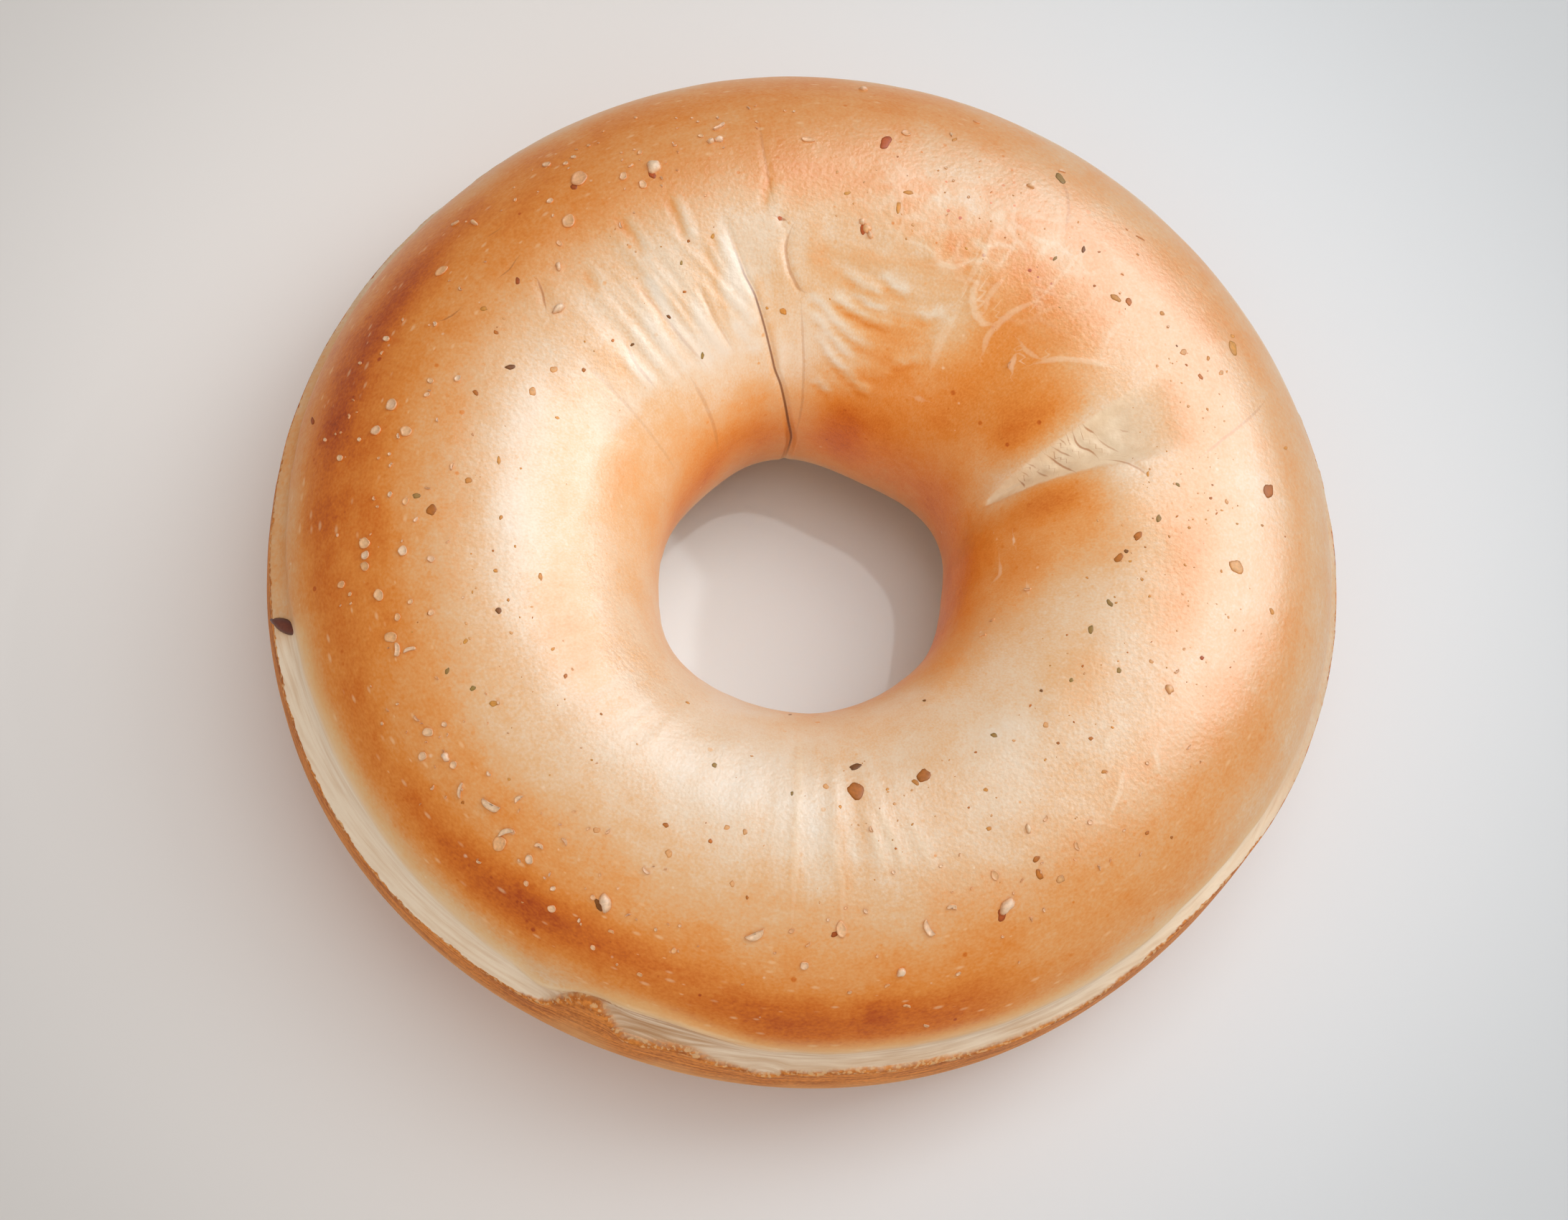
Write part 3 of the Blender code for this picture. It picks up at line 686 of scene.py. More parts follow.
def near_path(bearing, turn, marks):
    """How far each point is from a path over the crust, signed by its side, and how far along."""
    path_bearing, path_turn = smooth_path(marks)
    path = np.stack(plain_form(path_bearing, path_turn), axis=-1)
    level = np.cos(path_turn)
    outward = [level * np.cos(path_bearing), level * np.sin(path_bearing), np.sin(path_turn)]
    outward = np.stack(outward, axis=-1)
    points = np.stack(plain_form(bearing, turn), axis=-1)
    middle = path.mean(axis=0)
    reach = np.linalg.norm(path - middle, axis=1).max() + PATH_REACH
    close = np.linalg.norm(points - middle, axis=-1) < reach
    near = points[close]
    least = np.full(len(near), 1.0)
    side = np.zeros(len(near))
    along = np.zeros(len(near))
    last = len(path) - 1
    for index in range(last):
        way = path[index + 1] - path[index]
        share = np.clip((near - path[index]) @ way / (way @ way), 0, 1)
        offset = near - path[index] - share[:, None] * way
        length = np.linalg.norm(offset, axis=1)
        closer = length < least
        least = np.where(closer, length, least)
        side = np.where(closer, np.sign(offset @ np.cross(way, outward[index])), side)
        along = np.where(closer, (index + share) / last, along)
    distance, sides, shares = (np.full(bearing.shape, value) for value in (1.0, 1.0, 0.0))
    distance[close], sides[close], shares[close] = least, side, along
    return distance, sides, shares


def tapered(along):
    return ramp(along, 0, 0.25) * (1 - ramp(along, 0.75, 1))


def lines_relief(bearing, turn, lines):
    """Height over the lines, which are rounded and taper to their ends."""
    relief = np.zeros(bearing.shape)
    for marks, half_width, height, *_ in lines:
        distance, _, along = near_path(bearing, turn, marks)
        relief = relief + height * MM * tapered(along) * hump(distance / MM, 0.35 + 1.6 * half_width)
    return relief


def drawn_lines(bearing, turn, lines):
    """Signed distance from the nearest line in millimetres, its half width and its strength."""
    nearest = np.full(bearing.shape, FAR_AWAY)
    signed = np.full(bearing.shape, FAR_AWAY)
    width = np.full(bearing.shape, 0.1)
    strength = np.zeros(bearing.shape)
    for marks, half_width, _, amount in lines:
        distance, side, along = near_path(bearing, turn, marks)
        distance = distance / MM
        full = tapered(along)
        closer = distance < nearest
        nearest = np.where(closer, distance, nearest)
        signed = np.where(closer, distance * np.where(side < 0, -1, 1), signed)
        width = np.where(closer, half_width * (0.35 + 0.65 * full), width)
        shown = amount * (0.4 + 0.6 * full) * (1 - ramp(distance, 0.7 + half_width, 1.1 + half_width))
        strength = np.where(closer, shown, strength)
    return signed, width, strength


def place(bearing, turn):
    """Points of the bread, as an array with three columns."""
    x, y, z = plain_form(bearing, turn)
    outward, upward = np.cos(turn), np.sin(turn)
    relief = waist_relief(bearing, turn, z)
    relief = relief + seam_relief(bearing, turn, np.hypot(x, y))
    relief = relief + fold_relief(bearing, turn)
    relief = relief + waves(bearing, SWELLS) * ramp(upward, -0.2, 0.8)
    relief = relief + fine_relief(bearing, turn)
    relief = relief + lines_relief(bearing, turn, THREADS + STROKES)
    relief = relief - lines_relief(bearing, turn, CREASES + SHADOWS)
    x = x + relief * outward * np.cos(bearing)
    y = y + relief * outward * np.sin(bearing)
    z = z + relief * upward
    flattened = (z + BASE_EASING) ** 2 / (4 * BASE_EASING)
    z = np.where(z > BASE_EASING, z, np.where(z < -BASE_EASING, 0.0, flattened))
    return np.stack([x, y, z], axis=-1)


def uneven_steps(count, closer):
    """Angles round a full turn that lie closer together where asked."""
    samples = np.linspace(0, 2 * pi, 2881)
    density = 1 + rises(samples, closer)
    total = np.concatenate([[0], np.cumsum((density[1:] + density[:-1]) / 2)])
    return np.interp(np.linspace(0, total[-1], count + 1)[:-1], total, samples)


def grid_angles():
    """Bearing and turn of each vertex, leaning with the seam and the lip."""
    columns = uneven_steps(RING_COLUMNS, CLOSER_COLUMNS)
    rows = uneven_steps(DOUGH_ROWS, CLOSER_ROWS)
    bearing, turn = np.meshgrid(columns, rows, indexing="ij")
    lean = lip_turn(bearing) - radians(LIP_SETTLED)
    turn = turn + lean * hump_at(turn, LIP_SETTLED, LIP_FOLLOW)
    lean = seam_bearing(turn) - radians(SEAM_BEARING)
    bearing = bearing + lean * hump_at(bearing, SEAM_BEARING, SEAM_FOLLOW)
    return bearing, turn


def browning_and_painted_highlight_field(bearing, turn):
    edge = INNER_EDGE + 2 * np.sin(5 * bearing) + 1.5 * np.sin(13 * bearing) - 6 * hump_at(bearing, 180, 32)
    inner = ramp(np.degrees(turn), edge - 1.5, edge + 3.5) * (1 - ramp(np.degrees(turn), 176, 200))
    inner = INNER_BROWNING * inner * hump_at(bearing, 150, 62)
    return BROWNING_BASE + patches(bearing, turn, BROWNED_AND_PAINTED_HIGHLIGHT_PATCHES) + inner


def band_presence(bearing):
    """1 where the torn waist shows white, less behind, and 0 where the crust closed over it."""
    front = window(angle_from(bearing, radians(BAND_MIDDLE)), *BAND_REACH)
    return np.clip(front + rises(bearing, BAND_BEHIND), 0, 1)


def crust_fields(bearing, turn):
    """What the crust's material reads at each vertex, lengths in millimetres."""
    x, y, z = plain_form(bearing, turn)
    outer = ramp(np.cos(turn), 0.0, 0.3)
    # Paler along smears and pleats, and darker beside them as painted shadow
    strokes_and_painted_shadows = lines_relief(bearing, turn, STROKES) - lines_relief(bearing, turn, SHADOWS)
    fields = {
        "browning_and_painted_light": browning_and_painted_highlight_field(bearing, turn),
        "above_lip": above_lip(bearing, z) / MM,
        "below_band_top": (band_top(bearing) - z) / MM,
        "band": band_presence(bearing),
        "outer": outer,
        "lower_side": np.maximum(outer, ramp(-np.sin(turn), 0.3, 0.7)),
        "seam": seam_aside(bearing, turn, np.hypot(x, y)) / MM,
        "seam_strength": window(turn, *SEAM_LINE_REACH),
        "fold": fold_inside(bearing, turn),
        "fold_open": ramp(turn, radians(84), radians(104)),
        "torn": rises(bearing, TORN_PLACES),
        "web": patch(bearing, turn, *WEB_PATCH),
        "pleats": pleat_mask(bearing, turn),
        "swooshes": patch(bearing, turn, *SWOOSH_PATCH),
        "stroke_and_painted_shadow": strokes_and_painted_shadows / MM,
        "rolled": rolled_points(bearing, turn) / MM,
        "swoosh_way": swoosh_points(bearing, turn) / MM,
    }
    for name, lines in (("crease_and_painted_shade", CREASES), ("thread", THREADS)):
        signed, width, strength = drawn_lines(bearing, turn, lines)
        fields |= {name: signed, name + "_width": width, name + "_strength": strength}
    return fields


def set_field(mesh, name, values):
    """Keeps a number or a vector for each vertex."""
    vectors = values.ndim == 3
    layer = mesh.attributes.new(name, "FLOAT_VECTOR" if vectors else "FLOAT", "POINT")
    layer.data.foreach_set("vector" if vectors else "value", values.astype(np.float32).ravel())


def loop_mesh(name, points):
    """A closed mesh from a grid of points that wraps both ways, wound so that it faces out."""
    columns, rows = points.shape[:2]
    index = np.arange(columns * rows).reshape(columns, rows)
    after = np.roll(index, -1, axis=0)
    quads = np.stack([index, after, np.roll(after, -1, axis=1), np.roll(index, -1, axis=1)], axis=-1)
    mesh = bpy.data.meshes.new(name)
    mesh.from_pydata(points.reshape(-1, 3), [], quads.reshape(-1, 4).tolist())
    mesh.shade_smooth()
    return mesh


def make_bread():
    """The bread, and how far its middle was off the origin."""
    bearing, turn = grid_angles()
    points = place(bearing, turn)
    off_middle = (points.min(axis=(0, 1)) + points.max(axis=(0, 1))) / 2
    off_middle[2] = 0.0
    mesh = loop_mesh("bread", points - off_middle)
    for name, values in crust_fields(bearing, turn).items():
        set_field(mesh, name, values)
    bread = bpy.data.objects.new("bread", mesh)
    bpy.context.scene.collection.objects.link(bread)
    return bread, off_middle


def surface_frames(spots, off_middle):
    """A frame on the crust for each (bearing, turn) in degrees: X along the ring, Z out of it."""
    step = 0.004
    bearing, turn = np.radians(np.array(spots, dtype=float)).T
    points = place(np.stack([bearing, bearing + step, bearing]), np.stack([turn, turn, turn + step]))
    frames = []
    for centre, beside, beyond in (points - off_middle).transpose(1, 0, 2):
        centre, beside, beyond = Vector(centre), Vector(beside), Vector(beyond)
        along = (beside - centre).normalized()
        out = along.cross(beyond - centre).normalized()
        axes = Matrix((along, out.cross(along), out)).transposed().to_4x4()
        frames.append(Matrix.Translation(centre) @ axes)
    return frames


class Pile:
    """Many small closed bits gathered into one mesh, each vertex with its own tint."""

    def __init__(self, name):
        self.name = name
        self.points = []
        self.faces = []
        self.tints = []

    def add(self, lie, outline, rings, tint, rim_tint):
        """Rings are (share of the outline, height); the first and last close over a middle point."""
        start = len(self.points)
        count = len(outline)
        spots = [(0, 0, rings[0][1])]
        for share, height in rings:
            spots += [(x * share, y * share, height) for x, y in outline]
        spots.append((0, 0, rings[-1][1]))
        self.points += [tuple(lie @ Vector(spot)) for spot in spots]
        widest = max(share for share, height in rings)
        self.tints.append(tint)
        for share, height in rings:
            mix = (share / widest) ** 4
            self.tints += [tuple(a + (b - a) * mix for a, b in zip(tint, rim_tint))] * count
        self.tints.append(rim_tint)
        last = start + 1 + (len(rings) - 1) * count
        for index in range(count):
            after = (index + 1) % count
            self.faces.append((start, start + 1 + index, start + 1 + after))
            for inner in range(start + 1, last, count):
                outer = inner + count
                self.faces.append((inner + index, outer + index, outer + after, inner + after))
            self.faces.append((last + index, start + len(spots) - 1, last + after))

    def build(self, material):
        mesh = bpy.data.meshes.new(self.name)
        mesh.from_pydata(self.points, [], self.faces)
        mesh.shade_smooth()
        layer = mesh.attributes.new("tint", "FLOAT_VECTOR", "POINT")
        layer.data.foreach_set("vector", np.array(self.tints, dtype=np.float32).ravel())
        mesh.materials.append(material)
        piece = bpy.data.objects.new(self.name, mesh)
        bpy.context.scene.collection.objects.link(piece)
        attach(piece, "root")


def ragged_outline(rng, length, width, count, raggedness):
    """An uneven oval in metres, its length and width in millimetres."""
    lobes = [(order, rng.uniform(0, 2 * pi), raggedness / order**0.7) for order in (2, 3, 4, 5)]
    outline = []
    for index in range(count):
        angle = 2 * pi * index / count
        reach = 1 + sum(height * cos(order * angle + shift) for order, shift, height in lobes)
        outline.append((length / 2 * MM * reach * cos(angle), width / 2 * MM * reach * sin(angle)))
    return outline


def broken(outline, keep):
    """The outline with one side cut off straight."""
    limit = keep * max(y for x, y in outline)
    return [(x, min(y, limit + 0.12 * abs(x))) for x, y in outline]


def linear(colour):
    """Screen values from 0 to 255 as linear light."""
    shares = [value / 255 for value in colour]
    return tuple(share / 12.92 if share <= 0.04045 else ((share + 0.055) / 1.055) ** 2.4 for share in shares)


def varied(rng, colour, amount):
    """The colour a little lighter or darker and a little off in hue, as linear light."""
    lighter = 1 + rng.uniform(-amount, amount)
    shares = [lighter + rng.uniform(-amount, amount) * 0.3 for _ in colour]
    return tuple(min(1.0, channel * share) for channel, share in zip(linear(colour), shares))


def times_height(rings, thick):
    return [(share, height * thick) for share, height in rings]


def lay_flake(pile, rng, frame, length, width, shape):
    lie = Matrix.Rotation(rng.uniform(0, 2 * pi), 4, "Z")
    lie = lie @ Matrix.Rotation(radians(rng.uniform(-6, 6)), 4, "X")
    sunk = rng.choice(SUNK_SHARES) if length < LARGE_FLAKE or shape == "disc" else 0.0
    thick = (0.11 + 0.07 * length) * MM * (1 - 0.6 * sunk)
    tint = varied(rng, (240 - 16 * sunk, 204 - 50 * sunk, 168 - 80 * sunk), 0.06)
    rim = varied(rng, (228, 172 - 20 * sunk, 120 - 30 * sunk), 0.08)
    if shape == "chunk":
        outline = ragged_outline(rng, length, width, 16, 0.17)
        rings = CHUNK_RINGS
    else:
        outline = ragged_outline(rng, length, width, 20, 0.08)
        if shape == "half":
            outline = broken(outline, rng.uniform(-0.25, 0.25))
        rings = FLAKE_RINGS
    pile.add(frame @ lie, outline, times_height(rings, thick), tint, rim)


def lay_mark(pile, rng, frame, length, width, tone):
    lie = Matrix.Rotation(rng.uniform(0, pi), 4, "Z")
    outline = ragged_outline(rng, length, width, 16, 0.15)
    colour = varied(rng, TONES[tone], 0.14)
    darker = tuple(channel * 0.62 for channel in colour)
    if tone == "ring":
        colour, darker = varied(rng, RING_MIDDLE, 0.06), colour
    rings = times_height(MARK_TOP, (0.03 + 0.045 * width) * MM) + times_height(MARK_FOOT, MM)
    pile.add(frame @ lie, outline, rings, colour, darker)


def lay_all(name, rng, laid, off_middle, lay, material):
    """Lays every bit, given as (bearing, turn, length, width, shape or tone), in one piece."""
    pile = Pile(name)
    for frame, bit in zip(surface_frames([bit[:2] for bit in laid], off_middle), laid):
        lay(pile, rng, frame, *bit[2:])
    pile.build(material)


def scatter(rng, count, regions):
    """Places drawn from soft regions of (bearing, half width, turn, half height, weight)."""
    weights = [region[-1] for region in regions]
    for _ in range(count):
        bearing, half_width, turn, half_height = rng.choices(regions, weights)[0][:4]
        bearing = bearing + rng.triangular(-half_width, half_width)
        yield bearing, turn + rng.triangular(-half_height, half_height)


def add_flakes_and_marks(off_middle):
    rng = random.Random(23)
    laid = list(PALE_FLAKES)
    for bearing, turn in scatter(rng, 190, FLAKE_REGIONS):
        size = rng.choice((0.25, 0.3, 0.35, 0.45, 0.6))
        laid.append((bearing, turn, size, size * rng.uniform(0.5, 0.95), rng.choice(("disc", "half"))))
    lay_all("pale_flakes", rng, laid, off_middle, lay_flake, tinted_material("flake", 0.55))
    laid = list(MARKS)
    for bearing, turn in scatter(rng, 260, SPECK_REGIONS):
        size = rng.choice((0.14, 0.16, 0.2, 0.25, 0.35))
        tone = rng.choice(("brown", "ochre", "ochre", "ring", "ring"))
        laid.append((bearing, turn, size, size * rng.uniform(0.5, 1.0), tone))
    lay_all("brown_marks", rng, laid, off_middle, lay_mark, tinted_material("mark", 0.5, 0.12))


def add_dark_seed(off_middle):
    """The glossy dark seed stuck where the waist opens on the left."""
    rng = random.Random(5)
    lie = surface_frames([DARK_SEED_PLACE], off_middle)[0] @ Matrix.Rotation(radians(54), 4, "Z")
    outline = []
    for index in range(24):
        angle = 2 * pi * index / 24
        outline.append((2.8 * MM * cos(angle), 0.75 * MM * sin(angle) * (1 - 0.55 * cos(angle) ** 2)))
    seed = Pile("dark_seed")
    tints = varied(rng, (112, 52, 30), 0.02), varied(rng, (70, 34, 22), 0.02)
    seed.add(lie, outline, times_height(SEED_RINGS, MM), *tints)
    seed.build(tinted_material("seed", 0.30))


class Value:
    """An output in a material's graph, which adds and multiplies like a number."""

    def __init__(self, graph, socket):
        self.graph = graph
        self.socket = socket

    def __add__(self, other):
        return self.graph.math("ADD", self, other)

    def __sub__(self, other):
        return self.graph.math("SUBTRACT", self, other)

    def __rsub__(self, other):
        return self.graph.math("SUBTRACT", other, self)

    def __mul__(self, other):
        return self.graph.math("MULTIPLY", self, other)

    def __truediv__(self, other):
        return self.graph.math("DIVIDE", self, other)

    def __abs__(self):
        return self.graph.math("ABSOLUTE", self)


class Graph:
    """Adds nodes to a material and wires them."""

    def __init__(self, name):
        self.material = bpy.data.materials.new(name)
        self.material.use_nodes = True
        self.tree = self.material.node_tree
        self.shader = self.tree.nodes["Principled BSDF"]

    def put(self, socket, value):
        if isinstance(value, Value):
            self.tree.links.new(value.socket, socket)
        else:
            socket.default_value = value

    def node(self, kind, inputs, **settings):
        made = self.tree.nodes.new(kind)
        for name, value in settings.items():
            setattr(made, name, value)
        for name, value in inputs.items():
            self.put(made.inputs[name], value)
        return made

    def value(self, kind, inputs, output, **settings):
        return Value(self, self.node(kind, inputs, **settings).outputs[output])

    def attribute(self, name, output="Fac"):
        return self.value("ShaderNodeAttribute", {}, output, attribute_name=name)

    def position(self):
        """The place on the object in metres."""
        return self.value("ShaderNodeTexCoord", {}, "Object")

    def place_mm(self):
        return self.stretch(self.position(), (1000, 1000, 1000))

    def math(self, operation, *values):
        return self.value("ShaderNodeMath", dict(enumerate(values)), 0, operation=operation)

    def vectors(self, operation, *values):
        return self.value("ShaderNodeVectorMath", dict(enumerate(values)), 0, operation=operation)

    def stretch(self, vector, scale):
        return self.vectors("MULTIPLY", vector, scale)

    def scale(self, vector, amount):
        return self.value("ShaderNodeVectorMath", {0: vector, "Scale": amount}, 0, operation="SCALE")

    def spread(self, value, low, high, to_low=0.0, to_high=1.0):
        """Eased from to_low where the value is low to to_high where it is high."""
        names = ("Value", "From Min", "From Max", "To Min", "To Max")
        inputs = dict(zip(names, (value, low, high, to_low, to_high)))
        return self.value("ShaderNodeMapRange", inputs, "Result", interpolation_type="SMOOTHSTEP")

    def noise(self, vector, scale, detail, distortion=0.0):
        """Noise about 0, within about plus and minus a half."""
        inputs = {"Vector": vector, "Scale": scale, "Detail": detail, "Distortion": distortion}
        return self.value("ShaderNodeTexNoise", inputs, "Fac") - 0.5

    def streaks(self, vector, scales, detail, distortion=0.0):
        """Noise with its own scale along each axis."""
        return self.noise(self.stretch(vector, scales), 1.0, detail, distortion)

    def warped(self, vector, scale, amount):
        """The vector with a soft shift in every direction."""
        colour = self.value("ShaderNodeTexNoise", {"Vector": vector, "Scale": scale, "Detail": 1.0}, "Color")
        centred = self.vectors("SUBTRACT", colour, (0.5, 0.5, 0.5))
        return self.vectors("ADD", vector, self.scale(centred, amount))

    def dots(self, vector, scale, radius, share, soft=0.5):
        """1 in round dots, one in some of the cells, their sizes uneven."""
        cells = self.node("ShaderNodeTexVoronoi", {"Vector": vector, "Scale": scale}, feature="F1")
        distance = Value(self, cells.outputs["Distance"])
        colour = Value(self, cells.outputs["Color"])
        chance = self.value("ShaderNodeSeparateColor", {"Color": colour}, "Red")
        size = self.spread(chance, 1 - share, 1.0, 0.25, 1.0) * radius
        inside = self.spread(distance / size, 1 - soft, 1.0, 1.0, 0.0)
        return inside * self.math("GREATER_THAN", chance, 1 - share)

    def ramp(self, value, stops):
        made = self.node("ShaderNodeValToRGB", {"Fac": value})
        elements = made.color_ramp.elements
        while len(elements) < len(stops):
            elements.new(1.0)
        for element, (position, colour) in zip(elements, stops):
            element.position = position
            element.color = (*linear(colour), 1.0)
        return Value(self, made.outputs["Color"])

    def blend(self, share, first, second, mode="MIX"):
        """From the first colour to the second, each a value or three screen numbers."""
        inputs = {"Factor": share}
        for name, colour in (("A", first), ("B", second)):
            inputs[name] = colour if isinstance(colour, Value) else (*linear(colour), 1.0)
        return self.value("ShaderNodeMix", inputs, "Result", data_type="RGBA", blend_type=mode)

    def drawn(self, name, place_mm, wobble):
        """1 on the drawn lines of a name, their edges a little ragged."""
        distance = abs(self.attribute(name) + self.noise(place_mm, 1.4, 2) * wobble)
        width = self.attribute(name + "_width")
        return self.spread(distance, width * 1.5, width * 0.5) * self.attribute(name + "_strength")

    def finish(self, colour, roughness, specular):
        self.put(self.shader.inputs["Base Color"], colour)
        self.put(self.shader.inputs["Roughness"], roughness)
        self.shader.inputs["Specular IOR Level"].default_value = specular
        return self.material


def tinted_material(name, roughness, specular=0.3):
    graph = Graph(name)
    mottle = graph.spread(graph.noise(graph.place_mm(), 3.0, 3), -0.3, 0.3, 0.82, 1.12)
    return graph.finish(graph.scale(graph.attribute("tint", "Vector"), mottle), roughness, specular)


def baked_crust(graph, place_mm, rolled):
    """Colour, browning with its painted highlight and shadow lines, and bumps of the upper crust."""
    outer = graph.attribute("outer")
    web = graph.attribute("web")
    mottle = graph.noise(place_mm, 0.16, 4, 0.3) * 0.34
    grain = graph.noise(place_mm, 1.1, 2) * 0.14 + graph.noise(rolled, 3.6, 1) * 0.22
    ring_streaks = graph.streaks(rolled, (0.10, 0.10, 0.9), 3, 0.4) * 0.10 * outer
    pleats = graph.streaks(rolled, (0.42, 0.42, 0.07), 2) * 0.60 * graph.attribute("pleats")
    swooshes = graph.noise(graph.attribute("swoosh_way", "Vector"), 0.45, 2) * 0.75
    swooshes = swooshes * graph.attribute("swooshes")
    warped = graph.warped(place_mm, 0.32, 2.4)
    cells = graph.value(
        "ShaderNodeTexVoronoi", {"Vector": warped, "Scale": 0.34}, "Distance", feature="DISTANCE_TO_EDGE"
    )
    web_shown = graph.spread(graph.noise(place_mm, 0.3, 1), -0.10, 0.10) * web
    web_line = graph.spread(cells, 0.15, 0.01) * web_shown
    web_cells = graph.noise(warped, 0.22, 2) * 0.9 * web
    pores = graph.dots(place_mm, 0.36, 0.13, 0.35) * 0.20
    pinholes = graph.dots(place_mm, 0.85, 0.24, 0.6) * (web * 0.45 + 0.07)
    # Smears and pleats pale the crust, and the lines beside them darken it as painted shadow
    strokes_and_painted_shadows = graph.attribute("stroke_and_painted_shadow") * -1.8
    streaks = ring_streaks + pleats + swooshes
    browning_and_painted_light = graph.attribute("browning_and_painted_light") + mottle + grain + streaks + pores + pinholes + web_cells + strokes_and_painted_shadows

    colour = graph.ramp(browning_and_painted_light, CRUST_STOPS)
    dashes = graph.dots(graph.stretch(rolled, (0.60, 0.60, 1.0)), 1.0, 0.30, 0.8, 0.8)
    dashes = dashes * graph.spread(browning_and_painted_light, 0.25, 0.5) * outer
    colour = graph.blend(dashes * 0.40, colour, (248, 208, 160))
    flecks = graph.dots(place_mm, 0.55, 0.16, 0.25, 0.8)
    colour = graph.blend(flecks * 0.4, colour, (246, 222, 190))
    ragged = graph.noise(place_mm, 1.1, 2) * 1.2
    valley = graph.spread(graph.attribute("fold") + ragged, -0.2, 0.7) * graph.attribute("fold_open")
    shade = graph.spread(graph.noise(place_mm, 0.6, 3), -0.25, 0.25)
    colour = graph.blend(valley * 0.92, colour, graph.blend(shade, (240, 214, 180), (226, 194, 156)))
    pale_lines = graph.drawn("thread", place_mm, 0.3) * 0.5 + web_line * 0.36
    colour = graph.blend(pale_lines, colour, (247, 224, 192))
    return colour, browning_and_painted_light, pleats * 0.10 + swooshes * 0.12


def torn_waist(graph, place_mm, rolled, colour):
    """Bare dough and lower crust over the colour, where the lower crust is, and the fibres' bumps."""
    outer = graph.attribute("outer")
    torn = graph.attribute("torn")
    band = graph.attribute("band")
    below_top = graph.attribute("below_band_top")
    fibres = graph.streaks(rolled, (0.25, 0.25, 2.2), 3)
    above = graph.attribute("above_lip") + graph.noise(place_mm, 1.5, 3) * 0.5 + fibres * torn * 1.8
    on_lower = graph.spread(above, torn * 1.3 + 0.05, -0.05) * graph.attribute("lower_side")

    bare = graph.spread(below_top, -0.9, 1.3) * band * (1.0 - on_lower) * outer
    dough = graph.blend(graph.spread(fibres, -0.15, 0.4), (250, 227, 198), (228, 192, 154))
    dough = graph.blend(torn * graph.spread(fibres, -0.4, 0.25), dough, (190, 140, 92))
    colour = graph.blend(bare, colour, dough)
    halo = graph.spread(below_top, -2.2, -0.2) * graph.spread(below_top, 1.3, 0.1) * band * outer
    colour = graph.blend(halo * 0.45, colour, (240, 196, 134))

    tone = fibres + graph.noise(place_mm, 2.4, 2) * 0.7
    lower = graph.blend(graph.spread(tone, -0.28, 0.30), (232, 144, 62), (166, 88, 34))
    flecks = graph.spread(above, -0.9, -0.1) * graph.spread(graph.noise(place_mm, 2.2, 1), 0.02, 0.12)
    lower = graph.blend(flecks * 0.5, lower, (244, 208, 152))
    far_below = graph.spread(graph.attribute("above_lip"), -2.6, -10.0)
    tone = graph.noise(place_mm, 0.22, 3) * 1.2 + fibres * 0.35
    base = graph.blend(graph.spread(tone, -0.35, 0.35), (226, 166, 106), (200, 128, 66))
    colour = graph.blend(on_lower, colour, graph.blend(far_below, lower, base))
    standing = on_lower * graph.spread(far_below, 0.0, 1.0, 1.0, 0.25) + bare * (torn * 0.5 + 0.08)
    return colour, on_lower, fibres * standing * 0.15


def crust_material():
    graph = Graph("crust")
    place_mm = graph.place_mm()
    rolled = graph.attribute("rolled", "Vector")
    colour, browning_and_painted_light, wrinkles = baked_crust(graph, place_mm, rolled)
    colour, on_lower, fibres = torn_waist(graph, place_mm, rolled, colour)
    # Creases drawn darker: partly their browner crust, partly painted shade in the valleys
    crease_and_painted_shade = graph.drawn("crease_and_painted_shade", place_mm, 0.12)
    colour = graph.blend(crease_and_painted_shade * 0.85, colour, (176, 104, 50))
    seam_line = graph.spread(abs(graph.attribute("seam")), 0.17, 0.05) * graph.attribute("seam_strength")
    colour = graph.blend(seam_line * 0.85, colour, (120, 66, 34))
    height = graph.noise(place_mm, 2.0, 2) * 0.046 + fibres + wrinkles
    bumps = graph.value("ShaderNodeBump", {"Height": height, "Distance": MM, "Strength": 1.0}, "Normal")
    graph.put(graph.shader.inputs["Normal"], bumps)
    return graph.finish(colour, graph.spread(browning_and_painted_light, 0.1, 0.9, 0.40, 0.35) + on_lower * 0.4, 0.3)


def floor_material():
    """Pale paper with painted light: cool in and round the hole, darker away from the bread as painted
    falloff, and warmer on the left, where the shadow falls, than on the cooler right.
    """
    graph = Graph("floor_paper_with_painted_light")
    position = graph.position()
    ends = {0: position, 1: (-0.003, 0.012, 0)}
    painted_falloff_distance = graph.value("ShaderNodeVectorMath", ends, "Value", operation="DISTANCE")
    across = graph.value("ShaderNodeSeparateXYZ", {0: position}, "X")
    # Painted light: a cool white in and round the hole, full white round the bread
    middle = graph.blend(graph.spread(painted_falloff_distance, 0.018, 0.04), (244, 252, 255), (254, 253, 252))
    # Painted falloff: darker farther away from the bread
    tone = graph.blend(graph.spread(painted_falloff_distance, 0.045, 0.125), middle, (214, 212, 210))
    # Painted colour of the light: warmer and a touch darker on the left, where the shadow falls, cooler on
    # the right
    painted_side_light = graph.blend(graph.spread(across, -0.04, 0.06), (245, 242, 239), (246, 251, 255))
    return graph.finish(graph.blend(1.0, tone, painted_side_light, "MULTIPLY"), 0.85, 0.2)


def direction(azimuth, elevation):
    level = cos(radians(elevation))
    return Vector((cos(radians(azimuth)) * level, sin(radians(azimuth)) * level, sin(radians(elevation))))


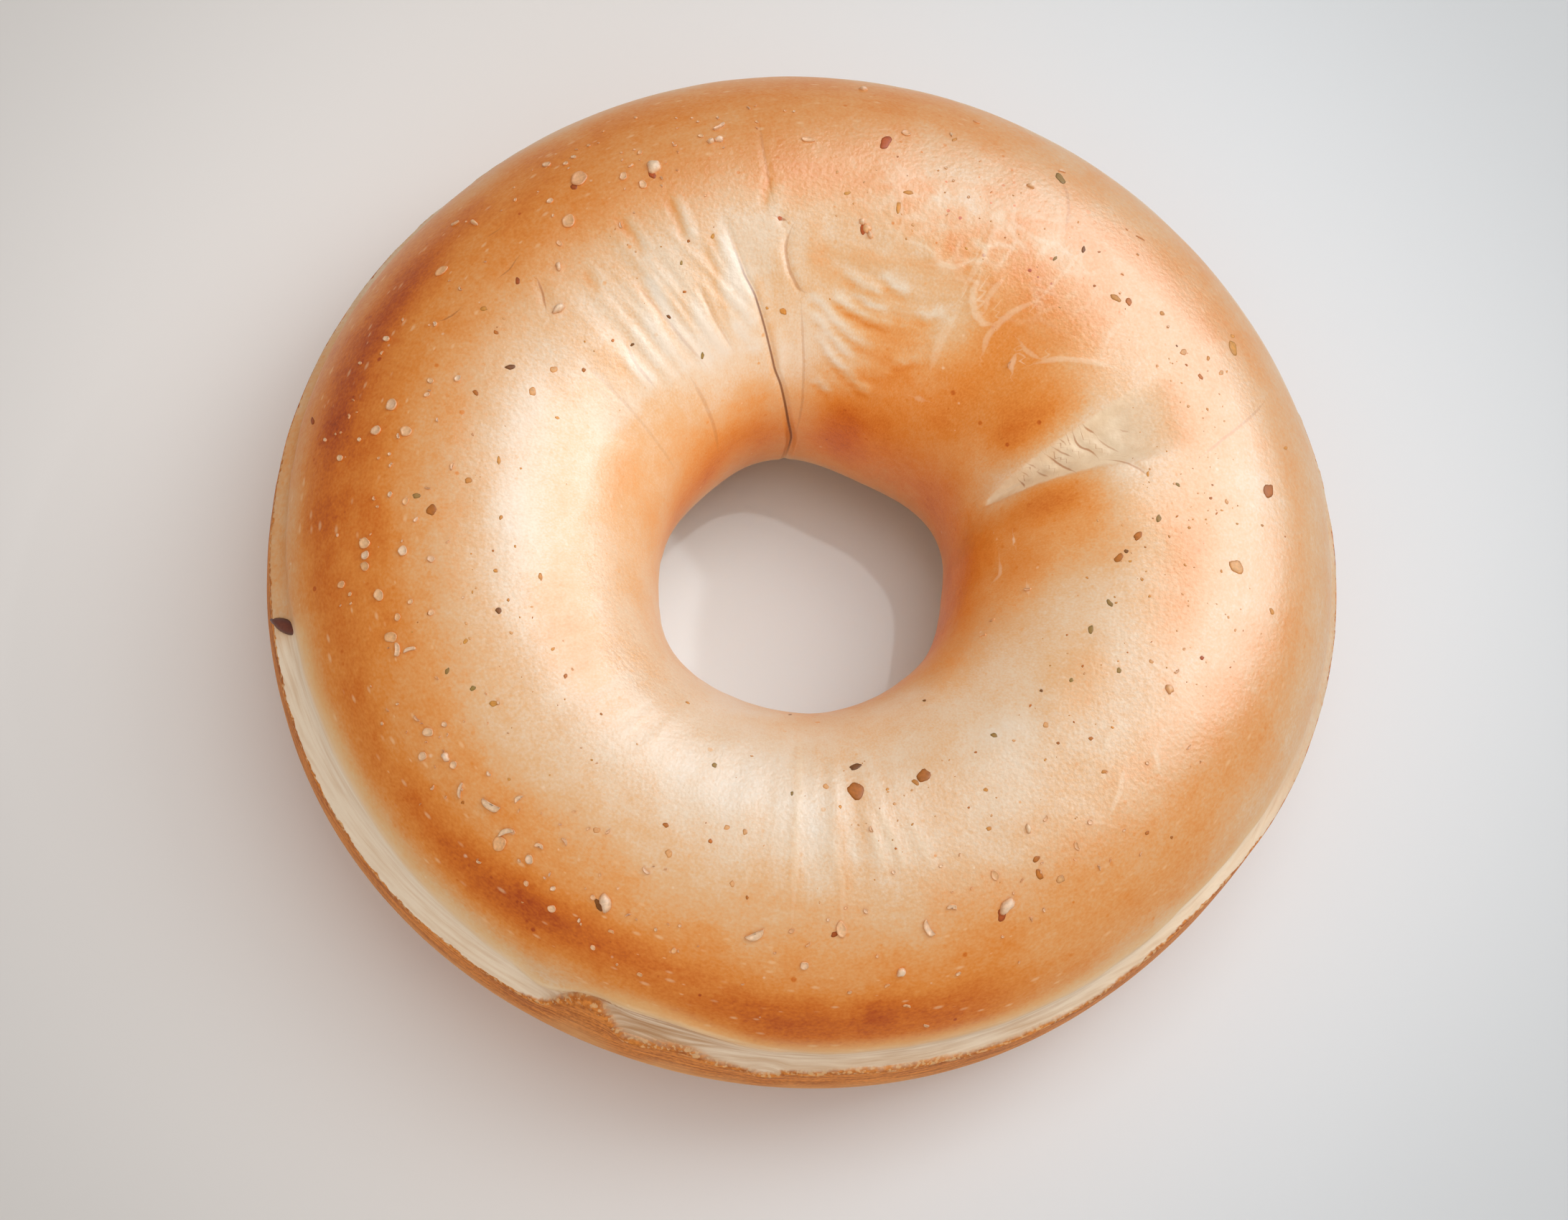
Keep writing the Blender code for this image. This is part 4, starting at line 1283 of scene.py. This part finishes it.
def add_camera():
    data = bpy.data.cameras.new("camera")
    data.lens = LENS_MM
    data.sensor_width = SENSOR_MM
    data.clip_start = 0.01
    camera = bpy.data.objects.new("camera", data)
    back = direction(CAMERA_AZIMUTH, CAMERA_ELEVATION)
    right = (-back).cross(Vector((0, 1, 0))).normalized()
    axes = Matrix((right, back.cross(right), back)).transposed()
    camera.matrix_world = Matrix.Translation(CAMERA_TARGET + CAMERA_DISTANCE * back) @ axes.to_4x4()
    bpy.context.scene.collection.objects.link(camera)
    bpy.context.scene.camera = camera


def add_light(name, data, azimuth, elevation, distance, target=(0, 0, 0)):
    """A light that stands off the target and faces it."""
    light = bpy.data.objects.new(name, data)
    way = direction(azimuth, elevation)
    light.location = Vector(target) + way * distance
    light.rotation_euler = way.to_track_quat("Z", "Y").to_euler()
    light.visible_glossy = False
    bpy.context.scene.collection.objects.link(light)
    return light


def add_softbox(name, azimuth, elevation, distance, width, height, radiance):
    """A broad light, its brightness given as radiance."""
    data = bpy.data.lights.new(name, "AREA")
    data.shape = "RECTANGLE"
    data.size = width
    data.size_y = height
    data.energy = radiance * pi * width * height
    return add_light(name, data, azimuth, elevation, distance)


def add_beam(name, azimuth, elevation, target, radius, irradiance):
    """A narrow soft-edged spotlight that lights a round patch of the given radius."""
    data = bpy.data.lights.new(name, "SPOT")
    data.spot_size = 2 * radius / BEAM_DISTANCE
    data.spot_blend = 1.0
    data.shadow_soft_size = 0.02
    data.energy = irradiance * 4 * pi * BEAM_DISTANCE**2
    add_light(name, data, azimuth, elevation, BEAM_DISTANCE, target)


def add_floor():
    half = 1.6
    corners = [(x * half, y * half, 0) for x, y in ((-1, -1), (1, -1), (1, 1), (-1, 1))]
    mesh = bpy.data.meshes.new("floor")
    mesh.from_pydata(corners, [], [(0, 1, 2, 3)])
    floor = bpy.data.objects.new("floor", mesh)
    floor.data.materials.append(floor_material())
    bpy.context.scene.collection.objects.link(floor)


def light_scene():
    scene = bpy.context.scene
    scene.view_settings.view_transform = "Standard"
    world = bpy.data.worlds.new("studio")
    scene.world = world
    world.use_nodes = True
    background = world.node_tree.nodes["Background"]
    background.inputs["Color"].default_value = (1.0, 0.99, 0.98, 1.0)
    background.inputs["Strength"].default_value = 0.50
    # Three lights shape the bread; the shine light stands lower and is only seen as a reflection
    add_softbox("key_light", 22, 50, 0.75, 0.36, 0.36, 2.75)
    add_softbox("top_light", 34, 80, 0.90, 0.55, 0.55, 1.8)
    add_softbox("front_light", -97, 24, 0.90, 0.90, 0.45, 1.15)
    shine = add_softbox("shine_light", 34, 42, 0.75, 0.84, 0.72, 13.0)
    shine.data.color = SHINE_COLOUR
    shine.visible_glossy = True
    shine.visible_diffuse = False
    # Narrow beams onto the back and left walls of the hole, and one down its middle
    add_beam("wall_beam", -103, 36, (-0.008, 0.012, 0.018), 0.020, 0.85)
    add_beam("left_wall_beam", 2, 44, (-0.013, 0.001, 0.020), 0.025, 1.35)
    add_beam("hole_beam", 34, 76, (-0.004, -0.004, 0.0), 0.016, 1.2)


bread, off_middle = make_bread()
bread.data.materials.append(crust_material())
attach(bread, "root")
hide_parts("bagel")

add_flakes_and_marks(off_middle)
add_dark_seed(off_middle)
add_camera()
light_scene()
add_floor()
